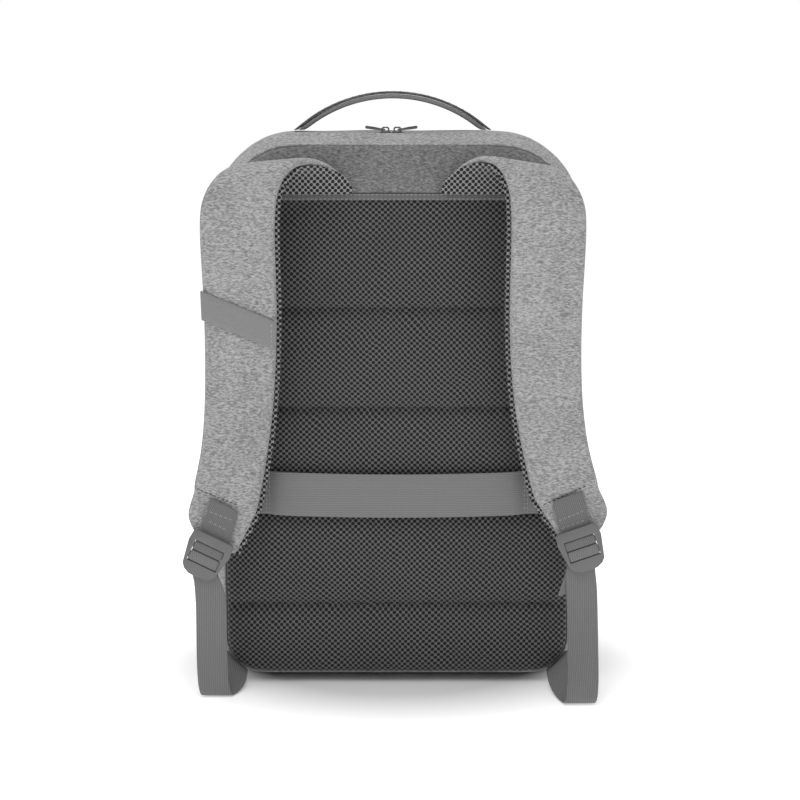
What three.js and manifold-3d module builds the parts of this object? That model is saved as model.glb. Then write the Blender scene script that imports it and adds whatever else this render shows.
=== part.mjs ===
// A laptop backpack standing on its base, seen from the side that is worn against the back.
// Millimetres, +Z up, +X to the right of the back panel, -Y out of the back panel.
// The origin is the centre of the flat base.
import * as THREE from 'three';
import Module from 'manifold-3d';
import { mergeVertices } from 'three/addons/utils/BufferGeometryUtils.js';

// Bag body
const BAG_WIDTH = 308;
const BAG_HEIGHT = 456;
const SHELL_DEPTH = 144;
const CLOTH_WALL = 3;
const TOP_CORNER_RADIUS = 71;
const BASE_CORNER_RADIUS = 38;
const SEAM_INSET = 12; // the back seam lies this far inside the bag's widest outline
const BASE_INSET = 8; // and this far above the base
const FRONT_LEAN = 20; // the front panel leans back by this much at the top
const SEWN_GAP = 0.3; // clearance between pieces that are sewn or laid together

// Back panel
const PAD_THICKNESS = 12;
const CHANNEL_THICKNESS = 7; // what is left of the pad under a sewn channel
const CHANNEL_WIDTH = 6.5;
const CHANNEL_PITCH = 82;
const CHANNEL_COUNT = 4;
const TOP_PUFF = 88; // from the binding down to the first channel
const YOKE_HEIGHT = 38;
const YOKE_EDGE_THICKNESS = 2.2;
const YOKE_STEP = 1; // the yoke's face lies this far behind the pad's
const YOKE_CURVE = 1.6; // how late the yoke thins towards the back seam
const BINDING_HEIGHT = 6;
const BINDING_THICKNESS = 1.6;

// Band that slips over the handle of a wheeled case
const TROLLEY_HEIGHT = 36;
const TROLLEY_CENTRE = 161;
const TROLLEY_SEWN_AT = 106; // stitch columns, from the middle
const TROLLEY_STAND_OFF = 6;
const TROLLEY_SAG = 2.5;
const TROLLEY_RUN_UP = 12; // length over which the band leaves the pad beside a stitch column
const TROLLEY_STITCH_BAND = 3;

// Zipper of the main compartment
const SLOT_WIDTH = 8;
const SLOT_FOOT = 170; // height where the zipper ends on each side
const TAPE_THICKNESS = 1.2;
const COIL_WIDTH = 3;
const COIL_HEIGHT = 1.4;
const COIL_SUNK = 0.6; // below the cloth
const SLIDERS_MEET = -4.6;
const SLIDER_LENGTH = 9.2;
const SLIDER_WIDTH = 7;
const SLIDER_HEIGHT = 1.8;
const BRIDGE_WIDTH = 2.6;
const BRIDGE_LENGTH = 6.4;
const BRIDGE_HOLE = 2.6;
const BRIDGE_BAR = 1.2;
const PULL_LENGTH = 16;
const PULL_WIDTH = 6.6;
const PULL_THICKNESS = 2.4;
const PULL_REST_ANGLE = 8; // degrees above the zipper
const PIVOT_SHIFT = 0.9; // the pull's pin sits this far towards the outer end of its bridge
const PIN_RADIUS = 0.8;
const PULL_CLEARANCE = 0.4; // between the pull's arms and the bridge
const PULL_ARM_REACH = 2.4;
const PULL_POINT = 0.8; // the tab's end is cut back by this
const PULL_WAIST = 0.55; // share of the pull's length where the tab is at its full thickness
const CORNER_CUT = 1.2; // on the slider and its bridge
const HOLE_CUT = 0.6;
const UNION_OVERLAP = 1; // how far bodies that become one solid reach into each other

// Top handle
const HANDLE_SPAN = 165; // outer foot to outer foot
const HANDLE_RISE = 32.5; // crown of the handle above the bag
const HANDLE_WIDTH = 25;
const HANDLE_CENTRE_X = -3.6;
const HANDLE_CENTRE_Y = -14;
const HANDLE_CORE = 3.6;
const HANDLE_COVER = 2.1;
const HANDLE_STEPS = 22;

// Shoulder straps; the two hang a little differently, as such straps do
const STRAP_WIDTH = 61.5;
const STRAP_THICKNESS = 11;
const LINING_THICKNESS = 3.2;
const LINING_RIM = 3.6; // the lining shows past the inner edge by this much
const STRAP_STAND_OFF = 42; // furthest reach of the strap's middle from its sewn root
const STRAP_ROOT_X = 38; // inner edge of the sewn root
const STRAP_CREST = 22; // crest above the sewn root
const LEFT_STRAP = {
  label: 'left', side: -1, hang: 307, drift: 59, flare: 35, roll: 8.5, tilt: 26, loopReach: 46,
  lockX: 147.6, tabLean: 4.5,
};
const RIGHT_STRAP = {
  label: 'right', side: 1, hang: 300, drift: 53, flare: 44, roll: 14, tilt: 19, loopReach: 72,
  lockX: 144.6, tabLean: 2,
};

// Strap hardware and webbing
const WEBBING_WIDTH = 25;
const WEBBING_THICKNESS = 1.4;
const LOCK_WIDTH = 35;
const LOCK_HEIGHT = 36;
const LOCK_THICKNESS = 4;
const LOCK_TOP_PLATE = 8;
const TAB_BAR = 4.4;
const ADJUST_BAR = 5.6;
const BAR_THICKNESS = 2;
const LOCK_SIDE_CLEARANCE = 0.35;
const LOCK_CORNER = 1.5;
const LOCK_SWELL = 0.8; // the frame's sides swell out by this
const LOCK_SWELL_AT = 0.28; // share of the lock's height
const LOCK_FOOT_SHARE = 0.9;
const LOCK_FOOT_SQUARENESS = 0.82;
const LOCK_EXIT_DOWN = 0.86; // where the webbing leaves the lock, as shares of its height
const LOCK_EXIT_OUT = 0.2; // and of its width
const TURN_LEAD = 0.8; // the webbing starts to turn round a bar this far in front of its run
const TURN_CUT = 0.6;
const FLOOR_GAP = 0.1;
const TAB_LENGTH = 27;
const TAIL_LENGTH = 26;
const TAIL_LEAN = 19; // the tail hangs inwards from the tilted lock by this much
const RUN_X = 151; // middle of the hanging webbing
const LOCK_ABOVE_END = 8.4; // lock's top edge over the middle of the strap's end
const KEEPER_WIDTH = 21.5;
const KEEPER_CENTRE = 306;
const KEEPER_TILT = 23; // degrees
const KEEPER_OUTER_GAP = 0.5; // round the strap's outer edge
const KEEPER_TURN_DEPTH = 0.8; // share of the strap's thickness that the band turns back

// Worked-out places
const BACK_PLANE = -SHELL_DEPTH / 2;
const PAD_BACK = BACK_PLANE - SEWN_GAP;
const PAD_FACE = PAD_BACK - PAD_THICKNESS;
const SEAM_HALF_WIDTH = BAG_WIDTH / 2 - SEAM_INSET;
const SEAM_TOP = BAG_HEIGHT - SEAM_INSET;
const YOKE_BOTTOM = SEAM_TOP - YOKE_HEIGHT;
const PAD_TOP = YOKE_BOTTOM - SEWN_GAP;
const ROOT_Z = YOKE_BOTTOM + SEWN_GAP;
const YOKE_FACE = PAD_FACE + YOKE_STEP;

const CORNER_STEPS = 8;
const SIDE_STEPS = 4;

// Shell sections from back to front. depth is a share of SHELL_DEPTH, edge of SEAM_INSET,
// base of BASE_INSET and lean of FRONT_LEAN.
const SHELL_ROWS = [
  { depth: 0.0, edge: 1.0, base: 1.0, lean: 0.0 },
  { depth: 0.07, edge: 0.5, base: 0.4, lean: 0.0 },
  { depth: 0.17, edge: 0.17, base: 0.0, lean: 0.0 },
  { depth: 0.34, edge: 0.0, base: 0.0, lean: 0.0 },
  { depth: 0.6, edge: 0.0, base: 0.0, lean: 0.3 },
  { depth: 0.83, edge: 0.35, base: 0.0, lean: 0.8 },
  { depth: 0.92, edge: 1.1, base: 0.7, lean: 1.0 },
  { depth: 0.97, edge: 2.1, base: 1.7, lean: 1.0 },
  { depth: 1.0, edge: 3.4, base: 3.2, lean: 1.0 },
];
const ZIPPER_ROW = SHELL_ROWS[2];

// Strap sections from the root over the crest to the end. fall is how far the middle lies below
// the crest, as a share of STRAP_CREST before it and of the strap's hang after it; off is a
// share of STRAP_STAND_OFF, wide of STRAP_WIDTH and thick of STRAP_THICKNESS; out, flare, roll
// and bend are shares of the strap's own drift, flare, roll and tilt.
const STRAP_ROWS = [
  { rise: true, fall: 1.0, off: 0, out: 0.0, flare: 0, wide: 1.0, roll: 0.0, bend: 0, thick: 0.42 },
  { rise: true, fall: 0.5, off: 0.13, out: 0.07, flare: 0, wide: 1.0, roll: 0.0, bend: 0, thick: 0.75 },
  { rise: true, fall: 0.12, off: 0.29, out: 0.24, flare: 0, wide: 1.02, roll: 0.15, bend: 0, thick: 0.9 },
  { rise: true, fall: 0.0, off: 0.5, out: 0.46, flare: 0, wide: 1.03, roll: 0.6, bend: 0, thick: 0.95 },
  { rise: false, fall: 0.009, off: 0.71, out: 0.68, flare: 0, wide: 1.0, roll: 0.95, bend: 0, thick: 1 },
  { rise: false, fall: 0.035, off: 0.88, out: 0.84, flare: 0, wide: 0.99, roll: 1.0, bend: 0, thick: 1 },
  { rise: false, fall: 0.08, off: 0.98, out: 0.95, flare: 0, wide: 0.98, roll: 0.85, bend: 0, thick: 1 },
  { rise: false, fall: 0.14, off: 1.0, out: 0.99, flare: 0, wide: 0.97, roll: 0.5, bend: 0, thick: 1 },
  { rise: false, fall: 0.25, off: 0.92, out: 0.99, flare: 0, wide: 0.96, roll: 0.2, bend: 0, thick: 1 },
  { rise: false, fall: 0.36, off: 0.81, out: 0.98, flare: 0, wide: 0.95, roll: 0.0, bend: 0, thick: 1 },
  { rise: false, fall: 0.5, off: 0.71, out: 1.0, flare: 0, wide: 0.93, roll: 0.0, bend: 0, thick: 1 },
  { rise: false, fall: 0.63, off: 0.65, out: 1.0, flare: 0.08, wide: 0.9, roll: 0.0, bend: 0.1, thick: 1 },
  { rise: false, fall: 0.76, off: 0.6, out: 1.0, flare: 0.25, wide: 0.86, roll: 0.0, bend: 0.35, thick: 1 },
  { rise: false, fall: 0.87, off: 0.57, out: 1.0, flare: 0.47, wide: 0.83, roll: 0.0, bend: 0.8, thick: 0.95 },
  { rise: false, fall: 0.89, off: 0.56, out: 1.0, flare: 0.56, wide: 0.78, roll: 0.0, bend: 0.95, thick: 0.6 },
  { rise: false, fall: 0.955, off: 0.56, out: 1.0, flare: 0.84, wide: 0.71, roll: 0.0, bend: 1, thick: 0.5 },
  { rise: false, fall: 1.0, off: 0.56, out: 1.0, flare: 1.0, wide: 0.5, roll: 0.0, bend: 1, thick: 0.4 },
];
const STRAP_STEPS = 44;

// Cross-section of padding: across from -1 to 1, and up from 0 at its back to 1 at its face.
const PADDED_SECTION = [
  [-1, 0], [-1, 0.5], [-0.94, 0.82], [-0.8, 0.96], [0, 1],
  [0.8, 0.96], [0.94, 0.82], [1, 0.5], [1, 0], [0, 0],
];
const FLAT_SECTION = [[-1, 0], [-1, 1], [1, 1], [1, 0]];

const HEATHER = { color: 0x9a9a9c, roughness: 0.95, metalness: 0 };
const MESH = { color: 0x434346, roughness: 0.9, metalness: 0 };
const WEBBING = { color: 0x6d6e70, roughness: 0.85, metalness: 0 };
const PLASTIC = { color: 0x656667, roughness: 0.55, metalness: 0 };
const METAL = { color: 0x58585b, roughness: 0.4, metalness: 0.8 };

const wasm = await Module();
wasm.setup();

const radians = THREE.MathUtils.degToRad;
const vector = (x, y, z) => new THREE.Vector3(x, y, z);

// A closed body from points and triangles, turned so that its faces point outwards.
function body(points, faces) {
  const cross = vector(0, 0, 0);
  const volume = faces.reduce(
    (sum, [a, b, c]) => sum + points[a].dot(cross.crossVectors(points[b], points[c])), 0);
  const turned = volume < 0 ? faces.map(([a, b, c]) => [a, c, b]) : faces;
  const geometry = new THREE.BufferGeometry();
  const places = points.flatMap((point) => point.toArray());
  geometry.setAttribute('position', new THREE.Float32BufferAttribute(places, 3));
  geometry.setIndex(turned.flat());
  geometry.computeVertexNormals();
  return geometry;
}

// A solid through a row of rings with equal numbers of points, closed at both ends.
function loft(rings) {
  const count = rings[0].length;
  const points = rings.flat();
  const faces = [];
  for (let ring = 0; ring < rings.length - 1; ring += 1) {
    for (let i = 0; i < count; i += 1) {
      const j = (i + 1) % count;
      const here = ring * count;
      const next = here + count;
      faces.push([here + i, here + j, next + j], [here + i, next + j, next + i]);
    }
  }
  const lastRing = (rings.length - 1) * count;
  for (const [start, flip] of [[0, true], [lastRing, false]]) {
    const middle = vector(0, 0, 0);
    for (let i = 0; i < count; i += 1) middle.addScaledVector(points[start + i], 1 / count);
    points.push(middle);
    for (let i = 0; i < count; i += 1) {
      const edge = [start + i, start + ((i + 1) % count)];
      faces.push([points.length - 1, ...(flip ? edge.reverse() : edge)]);
    }
  }
  return body(points, faces);
}

// A band whose rows give its two edges a and b, and how far its back and face lie from the
// surface between them. Corners are mitred, so the thickness holds round a bar.
function band(rows, section, facing = 1) {
  const middles = rows.map(({ a, b }) => a.clone().add(b).multiplyScalar(0.5));
  return loft(rows.map((row, i) => {
    const before = middles[Math.max(i - 1, 0)];
    const after = middles[Math.min(i + 1, rows.length - 1)];
    const across = row.b.clone().sub(row.a);
    const inwards = middles[i].clone().sub(i > 0 ? before : middles[0]);
    const onwards = after.clone().sub(middles[i]);
    if (i === 0) inwards.copy(onwards);
    if (i === rows.length - 1) onwards.copy(inwards);
    const n1 = inwards.cross(across).normalize();
    const n2 = onwards.cross(across).normalize();
    const normal = row.normal
      ?? n1.clone().add(n2).multiplyScalar(facing / (1 + n1.dot(n2)));
    return section.map(([u, v]) => middles[i].clone()
      .addScaledVector(across, u / 2)
      .addScaledVector(normal, row.back + (row.front - row.back) * v));
  }));
}

function toSolid(geometry) {
  const bare = geometry.clone();
  bare.deleteAttribute('normal');
  bare.deleteAttribute('uv');
  const merged = mergeVertices(bare);
  return new wasm.Manifold(new wasm.Mesh({
    numProp: 3,
    vertProperties: merged.attributes.position.array,
    triVerts: new Uint32Array(merged.index.array),
  }));
}

function toGeometry(solid) {
  const { vertProperties, triVerts } = solid.getMesh();
  const geometry = new THREE.BufferGeometry();
  geometry.setAttribute('position', new THREE.BufferAttribute(vertProperties, 3));
  geometry.setIndex(new THREE.BufferAttribute(triVerts, 1));
  geometry.computeVertexNormals();
  return geometry;
}

// A flat outline in X and Z, made thick along Y about the given middle.
function slab(corners, thickness, middleY, holes = []) {
  const shape = new THREE.Shape(corners.map(([x, z]) => new THREE.Vector2(x, z)));
  for (const hole of holes) {
    shape.holes.push(new THREE.Path(hole.map(([x, z]) => new THREE.Vector2(x, z))));
  }
  const geometry = new THREE.ExtrudeGeometry(shape, { depth: thickness, bevelEnabled: false });
  geometry.rotateX(Math.PI / 2);
  return geometry.translate(0, middleY + thickness / 2, 0);
}

function box(x0, x1, y0, y1, z0, z1) {
  const geometry = new THREE.BoxGeometry(x1 - x0, y1 - y0, z1 - z0);
  return geometry.translate((x0 + x1) / 2, (y0 + y1) / 2, (z0 + z1) / 2);
}

function arc(centreX, centreZ, radius, from, to) {
  return Array.from({ length: CORNER_STEPS + 1 }, (_, i) => {
    const angle = radians(from + ((to - from) * i) / CORNER_STEPS);
    return [centreX + radius * Math.cos(angle), centreZ + radius * Math.sin(angle)];
  });
}

// The bag's outline in X and Z, pulled in by side from its widest and up by base from the floor.
function outline(side, base) {
  const half = BAG_WIDTH / 2 - side;
  const top = BAG_HEIGHT - side;
  const topRadius = TOP_CORNER_RADIUS - side;
  const baseRadius = BASE_CORNER_RADIUS - base;
  const sideTop = top - topRadius;
  const sideBase = base + baseRadius;
  const rising = Array.from({ length: SIDE_STEPS - 1 }, (_, i) => (
    sideBase + ((sideTop - sideBase) * (i + 1)) / SIDE_STEPS));
  return [
    ...rising.map((z) => [half, z]),
    ...arc(half - topRadius, sideTop, topRadius, 0, 90),
    ...arc(-half + topRadius, sideTop, topRadius, 90, 180),
    ...rising.reverse().map((z) => [-half, z]),
    ...arc(-half + baseRadius, sideBase, baseRadius, 180, 270),
    ...arc(half - baseRadius, sideBase, baseRadius, 270, 360),
  ];
}

// The arch of the zipper at some inset, from its left foot over the top to its right foot.
function zipperArch(side) {
  const half = BAG_WIDTH / 2 - side;
  const top = BAG_HEIGHT - side;
  const radius = TOP_CORNER_RADIUS - side;
  return [
    [-half, SLOT_FOOT],
    ...arc(-half + radius, top - radius, radius, 180, 90),
    ...arc(half - radius, top - radius, radius, 90, 0),
    [half, SLOT_FOOT],
  ];
}

const zipperY = BACK_PLANE + SHELL_DEPTH * ZIPPER_ROW.depth;
const zipperInset = SEAM_INSET * ZIPPER_ROW.edge;

// The shell's outside when inset is 0, and its hollow when inset is the wall.
function shellForm(inset) {
  return loft(SHELL_ROWS.map((row, i) => {
    const ends = { 0: inset, [SHELL_ROWS.length - 1]: -inset };
    const y = BACK_PLANE + SHELL_DEPTH * row.depth + (ends[i] ?? 0);
    const ring = outline(SEAM_INSET * row.edge + inset, BASE_INSET * row.base + inset);
    return ring.map(([x, z]) => (
      vector(x, y - FRONT_LEAN * row.lean * (z / BAG_HEIGHT) ** 2, z)));
  }));
}

function bagShell() {
  const cutMargin = 10;
  const outer = zipperArch(-cutMargin);
  const inner = zipperArch(zipperInset + CLOTH_WALL + cutMargin).reverse();
  const slot = toSolid(slab([...outer, ...inner], SLOT_WIDTH, zipperY));
  const hollow = toSolid(shellForm(CLOTH_WALL));
  return toGeometry(toSolid(shellForm(0)).subtract(hollow).subtract(slot));
}

// Half the width of the back panel at a height, which follows the back seam.
function panelHalfWidth(z) {
  const topRadius = TOP_CORNER_RADIUS - SEAM_INSET;
  const baseRadius = BASE_CORNER_RADIUS - BASE_INSET;
  const above = Math.max(0, z - (SEAM_TOP - topRadius));
  const below = Math.max(0, BASE_INSET + baseRadius - z);
  const pulled = (radius, rise) => radius - Math.sqrt(Math.max(radius ** 2 - rise ** 2, 0));
  return SEAM_HALF_WIDTH - pulled(topRadius, above) - pulled(baseRadius, below);
}

// One level section of the back panel, with soft side edges.
function panelRing(z, thickness) {
  const half = panelHalfWidth(z);
  const soft = Math.min(PAD_THICKNESS, half / 2);
  const side = [[0, 0], [0, 0.45], [0.25, 0.8], [1, 0.98]];
  const left = side.map(([inwards, up]) => vector(-half + soft * inwards,
    PAD_BACK - thickness * up, z));
  const right = left.map((point) => vector(-point.x, point.y, z)).reverse();
  return [...left, vector(0, PAD_BACK - thickness, z), ...right, vector(0, PAD_BACK, z)];
}

function backPad() {
  const bindingBack = PAD_THICKNESS - BINDING_THICKNESS - SEWN_GAP;
  const puffTop = PAD_TOP - BINDING_HEIGHT;
  const edges = [puffTop];
  for (let i = 0; i < CHANNEL_COUNT; i += 1) {
    const middle = puffTop - TOP_PUFF - CHANNEL_PITCH * i;
    edges.push(middle + CHANNEL_WIDTH / 2, middle - CHANNEL_WIDTH / 2);
  }
  edges.push(BASE_INSET);
  const shares = [0, 0.05, 0.15, 0.32, 0.5, 0.68, 0.85, 0.95, 1];
  const rings = [panelRing(PAD_TOP, bindingBack), panelRing(puffTop + SEWN_GAP, bindingBack)];
  for (let i = 0; i < edges.length; i += 2) {
    for (const share of shares) {
      const z = edges[i] + (edges[i + 1] - edges[i]) * share;
      const swell = Math.sqrt(1 - Math.abs(2 * share - 1) ** 4);
      const thin = i === 0 && share === 0 ? bindingBack : CHANNEL_THICKNESS;
      rings.push(panelRing(z, thin + (PAD_THICKNESS - thin) * swell));
    }
  }
  return loft(rings);
}

function backYoke() {
  const shares = [0, 0.25, 0.5, 0.7, 0.85, 0.95, 1];
  const full = PAD_THICKNESS - YOKE_STEP;
  return loft(shares.map((share) => panelRing(YOKE_BOTTOM + YOKE_HEIGHT * share,
    full + (YOKE_EDGE_THICKNESS - full) * share ** YOKE_CURVE)));
}

function yokeBinding() {
  const half = SEAM_HALF_WIDTH - PAD_THICKNESS;
  const top = PAD_TOP;
  const face = PAD_FACE;
  return box(-half, half, face, face + BINDING_THICKNESS, top - BINDING_HEIGHT + 2 * SEWN_GAP, top);
}

// The webbing band across the pad, sewn at two columns and standing clear between them.
function trolleyStrap() {
  const half = SEAM_HALF_WIDTH - PAD_THICKNESS / 2;
  const rising = [0, 0.4, 1].map((share) => -TROLLEY_SEWN_AT + TROLLEY_RUN_UP * share);
  const stations = [-half, -TROLLEY_SEWN_AT - TROLLEY_STITCH_BAND, ...rising,
    -TROLLEY_SEWN_AT / 2, 0];
  const all = [...stations, ...stations.slice(0, -1).map((x) => -x).reverse()];
  const rows = all.map((x) => {
    const inside = Math.max(0, TROLLEY_SEWN_AT - Math.abs(x));
    const lift = TROLLEY_STAND_OFF * Math.min(1, inside / TROLLEY_RUN_UP);
    const droop = TROLLEY_SAG * (inside > 0 ? 1 - (x / TROLLEY_SEWN_AT) ** 2 : 0);
    const z = TROLLEY_CENTRE - droop;
    const y = PAD_FACE - SEWN_GAP - lift;
    return {
      a: vector(x, y, z - TROLLEY_HEIGHT / 2),
      b: vector(x, y, z + TROLLEY_HEIGHT / 2),
      back: 0,
      front: WEBBING_THICKNESS,
    };
  });
  return band(rows, FLAT_SECTION);
}

function mainZipper() {
  const depth = TAPE_THICKNESS + COIL_HEIGHT;
  const base = zipperInset + COIL_SUNK + depth;
  const half = SLOT_WIDTH / 2 - SEWN_GAP;
  const coil = COIL_WIDTH / 2;
  const section = [[-half, 0], [-half, TAPE_THICKNESS], [-coil, TAPE_THICKNESS], [-coil, depth],
    [coil, depth], [coil, TAPE_THICKNESS], [half, TAPE_THICKNESS], [half, 0]];
  const low = zipperArch(base);
  const high = zipperArch(base - depth);
  return loft(low.map(([x, z], i) => section.map(([across, up]) => {
    const share = up / depth;
    const foot = i === 0 || i === low.length - 1 ? SEWN_GAP : 0;
    return vector(x + (high[i][0] - x) * share, zipperY + across,
      z + (high[i][1] - z) * share + foot);
  })));
}

const coilTop = BAG_HEIGHT - zipperInset - COIL_SUNK;
const sliderTop = coilTop + SEWN_GAP + SLIDER_HEIGHT;
const sliderX = (side) => SLIDERS_MEET + (side * (SLIDER_LENGTH + 2 * SEWN_GAP)) / 2;
const pivotHeight = BRIDGE_HOLE / 2;

function zipSlider() {
  const half = SLIDER_LENGTH / 2;
  const low = -SLIDER_HEIGHT;
  const flat = half - CORNER_CUT;
  const plate = slab([[-half, low], [half, low], [half, -HOLE_CUT], [flat, 0], [-flat, 0],
    [-half, -HOLE_CUT]], SLIDER_WIDTH, 0);
  const outer = BRIDGE_LENGTH / 2;
  const inner = outer - BRIDGE_BAR;
  const top = BRIDGE_HOLE + BRIDGE_BAR;
  const sunk = -BRIDGE_BAR / 2;
  const holeSide = BRIDGE_HOLE - HOLE_CUT;
  const holeFlat = inner - HOLE_CUT;
  const shoulder = top - CORNER_CUT;
  const crown = outer - CORNER_CUT;
  const bridge = slab([[-outer, sunk], [-inner, sunk], [-inner, holeSide],
    [-holeFlat, BRIDGE_HOLE], [holeFlat, BRIDGE_HOLE], [inner, holeSide],
    [inner, sunk], [outer, sunk], [outer, shoulder], [crown, top], [-crown, top],
    [-outer, shoulder]], BRIDGE_WIDTH, 0);
  return toGeometry(toSolid(plate).add(toSolid(bridge)));
}

// A pull with its pin on the origin, its tab along +X and its width along Y.
function zipPull() {
  const armFrom = BRIDGE_WIDTH / 2 + PULL_CLEARANCE;
  const tabFrom = PIN_RADIUS + PULL_ARM_REACH;
  const half = PULL_WIDTH / 2;
  const thin = PIN_RADIUS;
  const thick = PULL_THICKNESS / 2;
  const pin = new THREE.CylinderGeometry(PIN_RADIUS, PIN_RADIUS, PULL_WIDTH, 10);
  const arms = [-1, 1].map((side) => {
    const [near, far] = side < 0 ? [-half, -armFrom] : [armFrom, half];
    return toSolid(box(0, tabFrom + UNION_OVERLAP, near, far, -thin, thin));
  });
  const waist = PULL_LENGTH * PULL_WAIST;
  const tip = PULL_LENGTH - PULL_POINT;
  const tab = slab([[tabFrom, -thin], [waist, -thick], [tip, -thick], [PULL_LENGTH, 0],
    [tip, thick], [waist, thick], [tabFrom, thin]], PULL_WIDTH, 0);
  return toGeometry(toSolid(pin).add(arms[0]).add(arms[1]).add(toSolid(tab)));
}

// One layer of the handle, an arch with level feet, from one height above its underside to another.
function handleLayer(back, front) {
  const half = HANDLE_SPAN / 2;
  const radius = (half ** 2 + HANDLE_RISE ** 2) / (2 * HANDLE_RISE);
  const middle = radius - HANDLE_CORE - HANDLE_COVER - SEWN_GAP;
  const centreZ = BAG_HEIGHT + HANDLE_RISE - radius;
  const footZ = BAG_HEIGHT + SEWN_GAP;
  const limit = Math.acos((footZ - centreZ) / middle);
  const rows = Array.from({ length: HANDLE_STEPS + 1 }, (_, i) => {
    const angle = limit * ((2 * i) / HANDLE_STEPS - 1);
    const x = HANDLE_CENTRE_X + middle * Math.sin(angle);
    const z = centreZ + middle * Math.cos(angle);
    const isFoot = i === 0 || i === HANDLE_STEPS;
    const normal = isFoot ? vector(1 / Math.sin(angle), 0, 0) : undefined;
    return {
      a: vector(x, HANDLE_CENTRE_Y - HANDLE_WIDTH / 2, z),
      b: vector(x, HANDLE_CENTRE_Y + HANDLE_WIDTH / 2, z),
      normal, back, front,
    };
  });
  return band(rows, FLAT_SECTION);
}

// The strap's rows, worked out from the table, with smooth curves through its two edges.
function strapRows({ side, hang, drift, flare, roll, tilt }) {
  const slope = Math.tan(radians(tilt));
  const rootY = YOKE_FACE - SEWN_GAP - (STRAP_ROWS[0].thick * STRAP_THICKNESS) / 2;
  const rows = STRAP_ROWS.map((row) => {
    const z = ROOT_Z + STRAP_CREST - row.fall * (row.rise ? STRAP_CREST : hang);
    const y = rootY - row.off * STRAP_STAND_OFF;
    const width = row.wide * STRAP_WIDTH;
    const near = STRAP_ROOT_X + row.out * drift + row.flare * flare;
    const drop = row.roll * roll - row.bend * slope * width;
    return {
      a: vector(side * near, y, z + drop / 2),
      b: vector(side * (near + width), y, z - drop / 2),
      thick: row.thick * STRAP_THICKNESS,
    };
  });
  const inner = new THREE.CatmullRomCurve3(rows.map((row) => row.a));
  const outer = new THREE.CatmullRomCurve3(rows.map((row) => row.b));
  return Array.from({ length: STRAP_STEPS + 1 }, (_, i) => {
    const at = (i / STRAP_STEPS) * (rows.length - 1);
    const low = Math.min(Math.floor(at), rows.length - 2);
    const thick = THREE.MathUtils.lerp(rows[low].thick, rows[low + 1].thick, at - low);
    return { a: inner.getPoint(i / STRAP_STEPS), b: outer.getPoint(i / STRAP_STEPS), thick };
  });
}

const liningShare = LINING_THICKNESS / STRAP_THICKNESS;

function strapPadding(rows, side) {
  return band(rows.map(({ a, b, thick }) => (
    { a, b, back: thick * (liningShare - 0.5) + SEWN_GAP, front: thick / 2 })),
  PADDED_SECTION, side);
}

function strapLining(rows, side) {
  return band(rows.map(({ a, b, thick }) => {
    const rim = a.clone().sub(b).setLength(LINING_RIM).add(a);
    return { a: rim, b, back: thick * (liningShare - 0.5), front: -thick / 2 };
  }), PADDED_SECTION, side);
}

// Where the face of a hanging strap is at a height, u across it from -1 inside to 1 outside.
function strapFace(rows, z, u) {
  const at = ({ a, b }) => a.clone().lerp(b, (u + 1) / 2);
  for (let i = rows.length - 1; i > 0; i -= 1) {
    const low = at(rows[i]);
    const high = at(rows[i - 1]);
    if (low.z <= z && high.z > z) {
      const face = low.lerp(high, (z - low.z) / (high.z - low.z));
      return face.add(vector(0, -rows[i].thick / 2, 0));
    }
  }
  return at(rows[rows.length - 1]);
}

// A band of webbing laid across the left strap, round its outer edge.
function keeperBand(rows, side) {
  const slope = Math.tan(radians(KEEPER_TILT));
  const tall = KEEPER_WIDTH / Math.cos(radians(KEEPER_TILT));
  const edgeAt = (u, lift) => {
    const x = strapFace(rows, KEEPER_CENTRE, u).x;
    const middle = strapFace(rows, KEEPER_CENTRE, 0).x;
    const z = KEEPER_CENTRE + (side * (x - middle)) * slope + lift;
    const point = strapFace(rows, z, u);
    return vector(point.x, point.y - SEWN_GAP, z);
  };
  const onFace = [-0.98, -0.6, -0.2, 0.2, 0.6, 1].map((u) => (
    { a: edgeAt(u, -tall / 2), b: edgeAt(u, tall / 2), back: 0, front: WEBBING_THICKNESS }));
  const last = onFace[onFace.length - 1];
  const turnDepth = STRAP_THICKNESS * KEEPER_TURN_DEPTH;
  const turn = [[0.6, 0.017], [1, 0.08], [1, 1]].map(([out, behind]) => {
    const shift = vector(side * KEEPER_OUTER_GAP * out, turnDepth * behind, 0);
    return { ...last, a: last.a.clone().add(shift), b: last.b.clone().add(shift) };
  });
  return band([...onFace, ...turn], FLAT_SECTION, side);
}

// Heights inside the ladder lock, down from its top edge.
const tabBarTop = LOCK_TOP_PLATE + WEBBING_THICKNESS + 2 * SEWN_GAP;
const tabBarBase = tabBarTop + TAB_BAR;
const adjustBarTop = tabBarBase + 2 * WEBBING_THICKNESS + 3 * SEWN_GAP;
const adjustBarBase = adjustBarTop + ADJUST_BAR;
const windowBase = adjustBarBase + WEBBING_THICKNESS + 2 * SEWN_GAP;
const barFront = -LOCK_THICKNESS / 2 + WEBBING_THICKNESS + SEWN_GAP;

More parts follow.
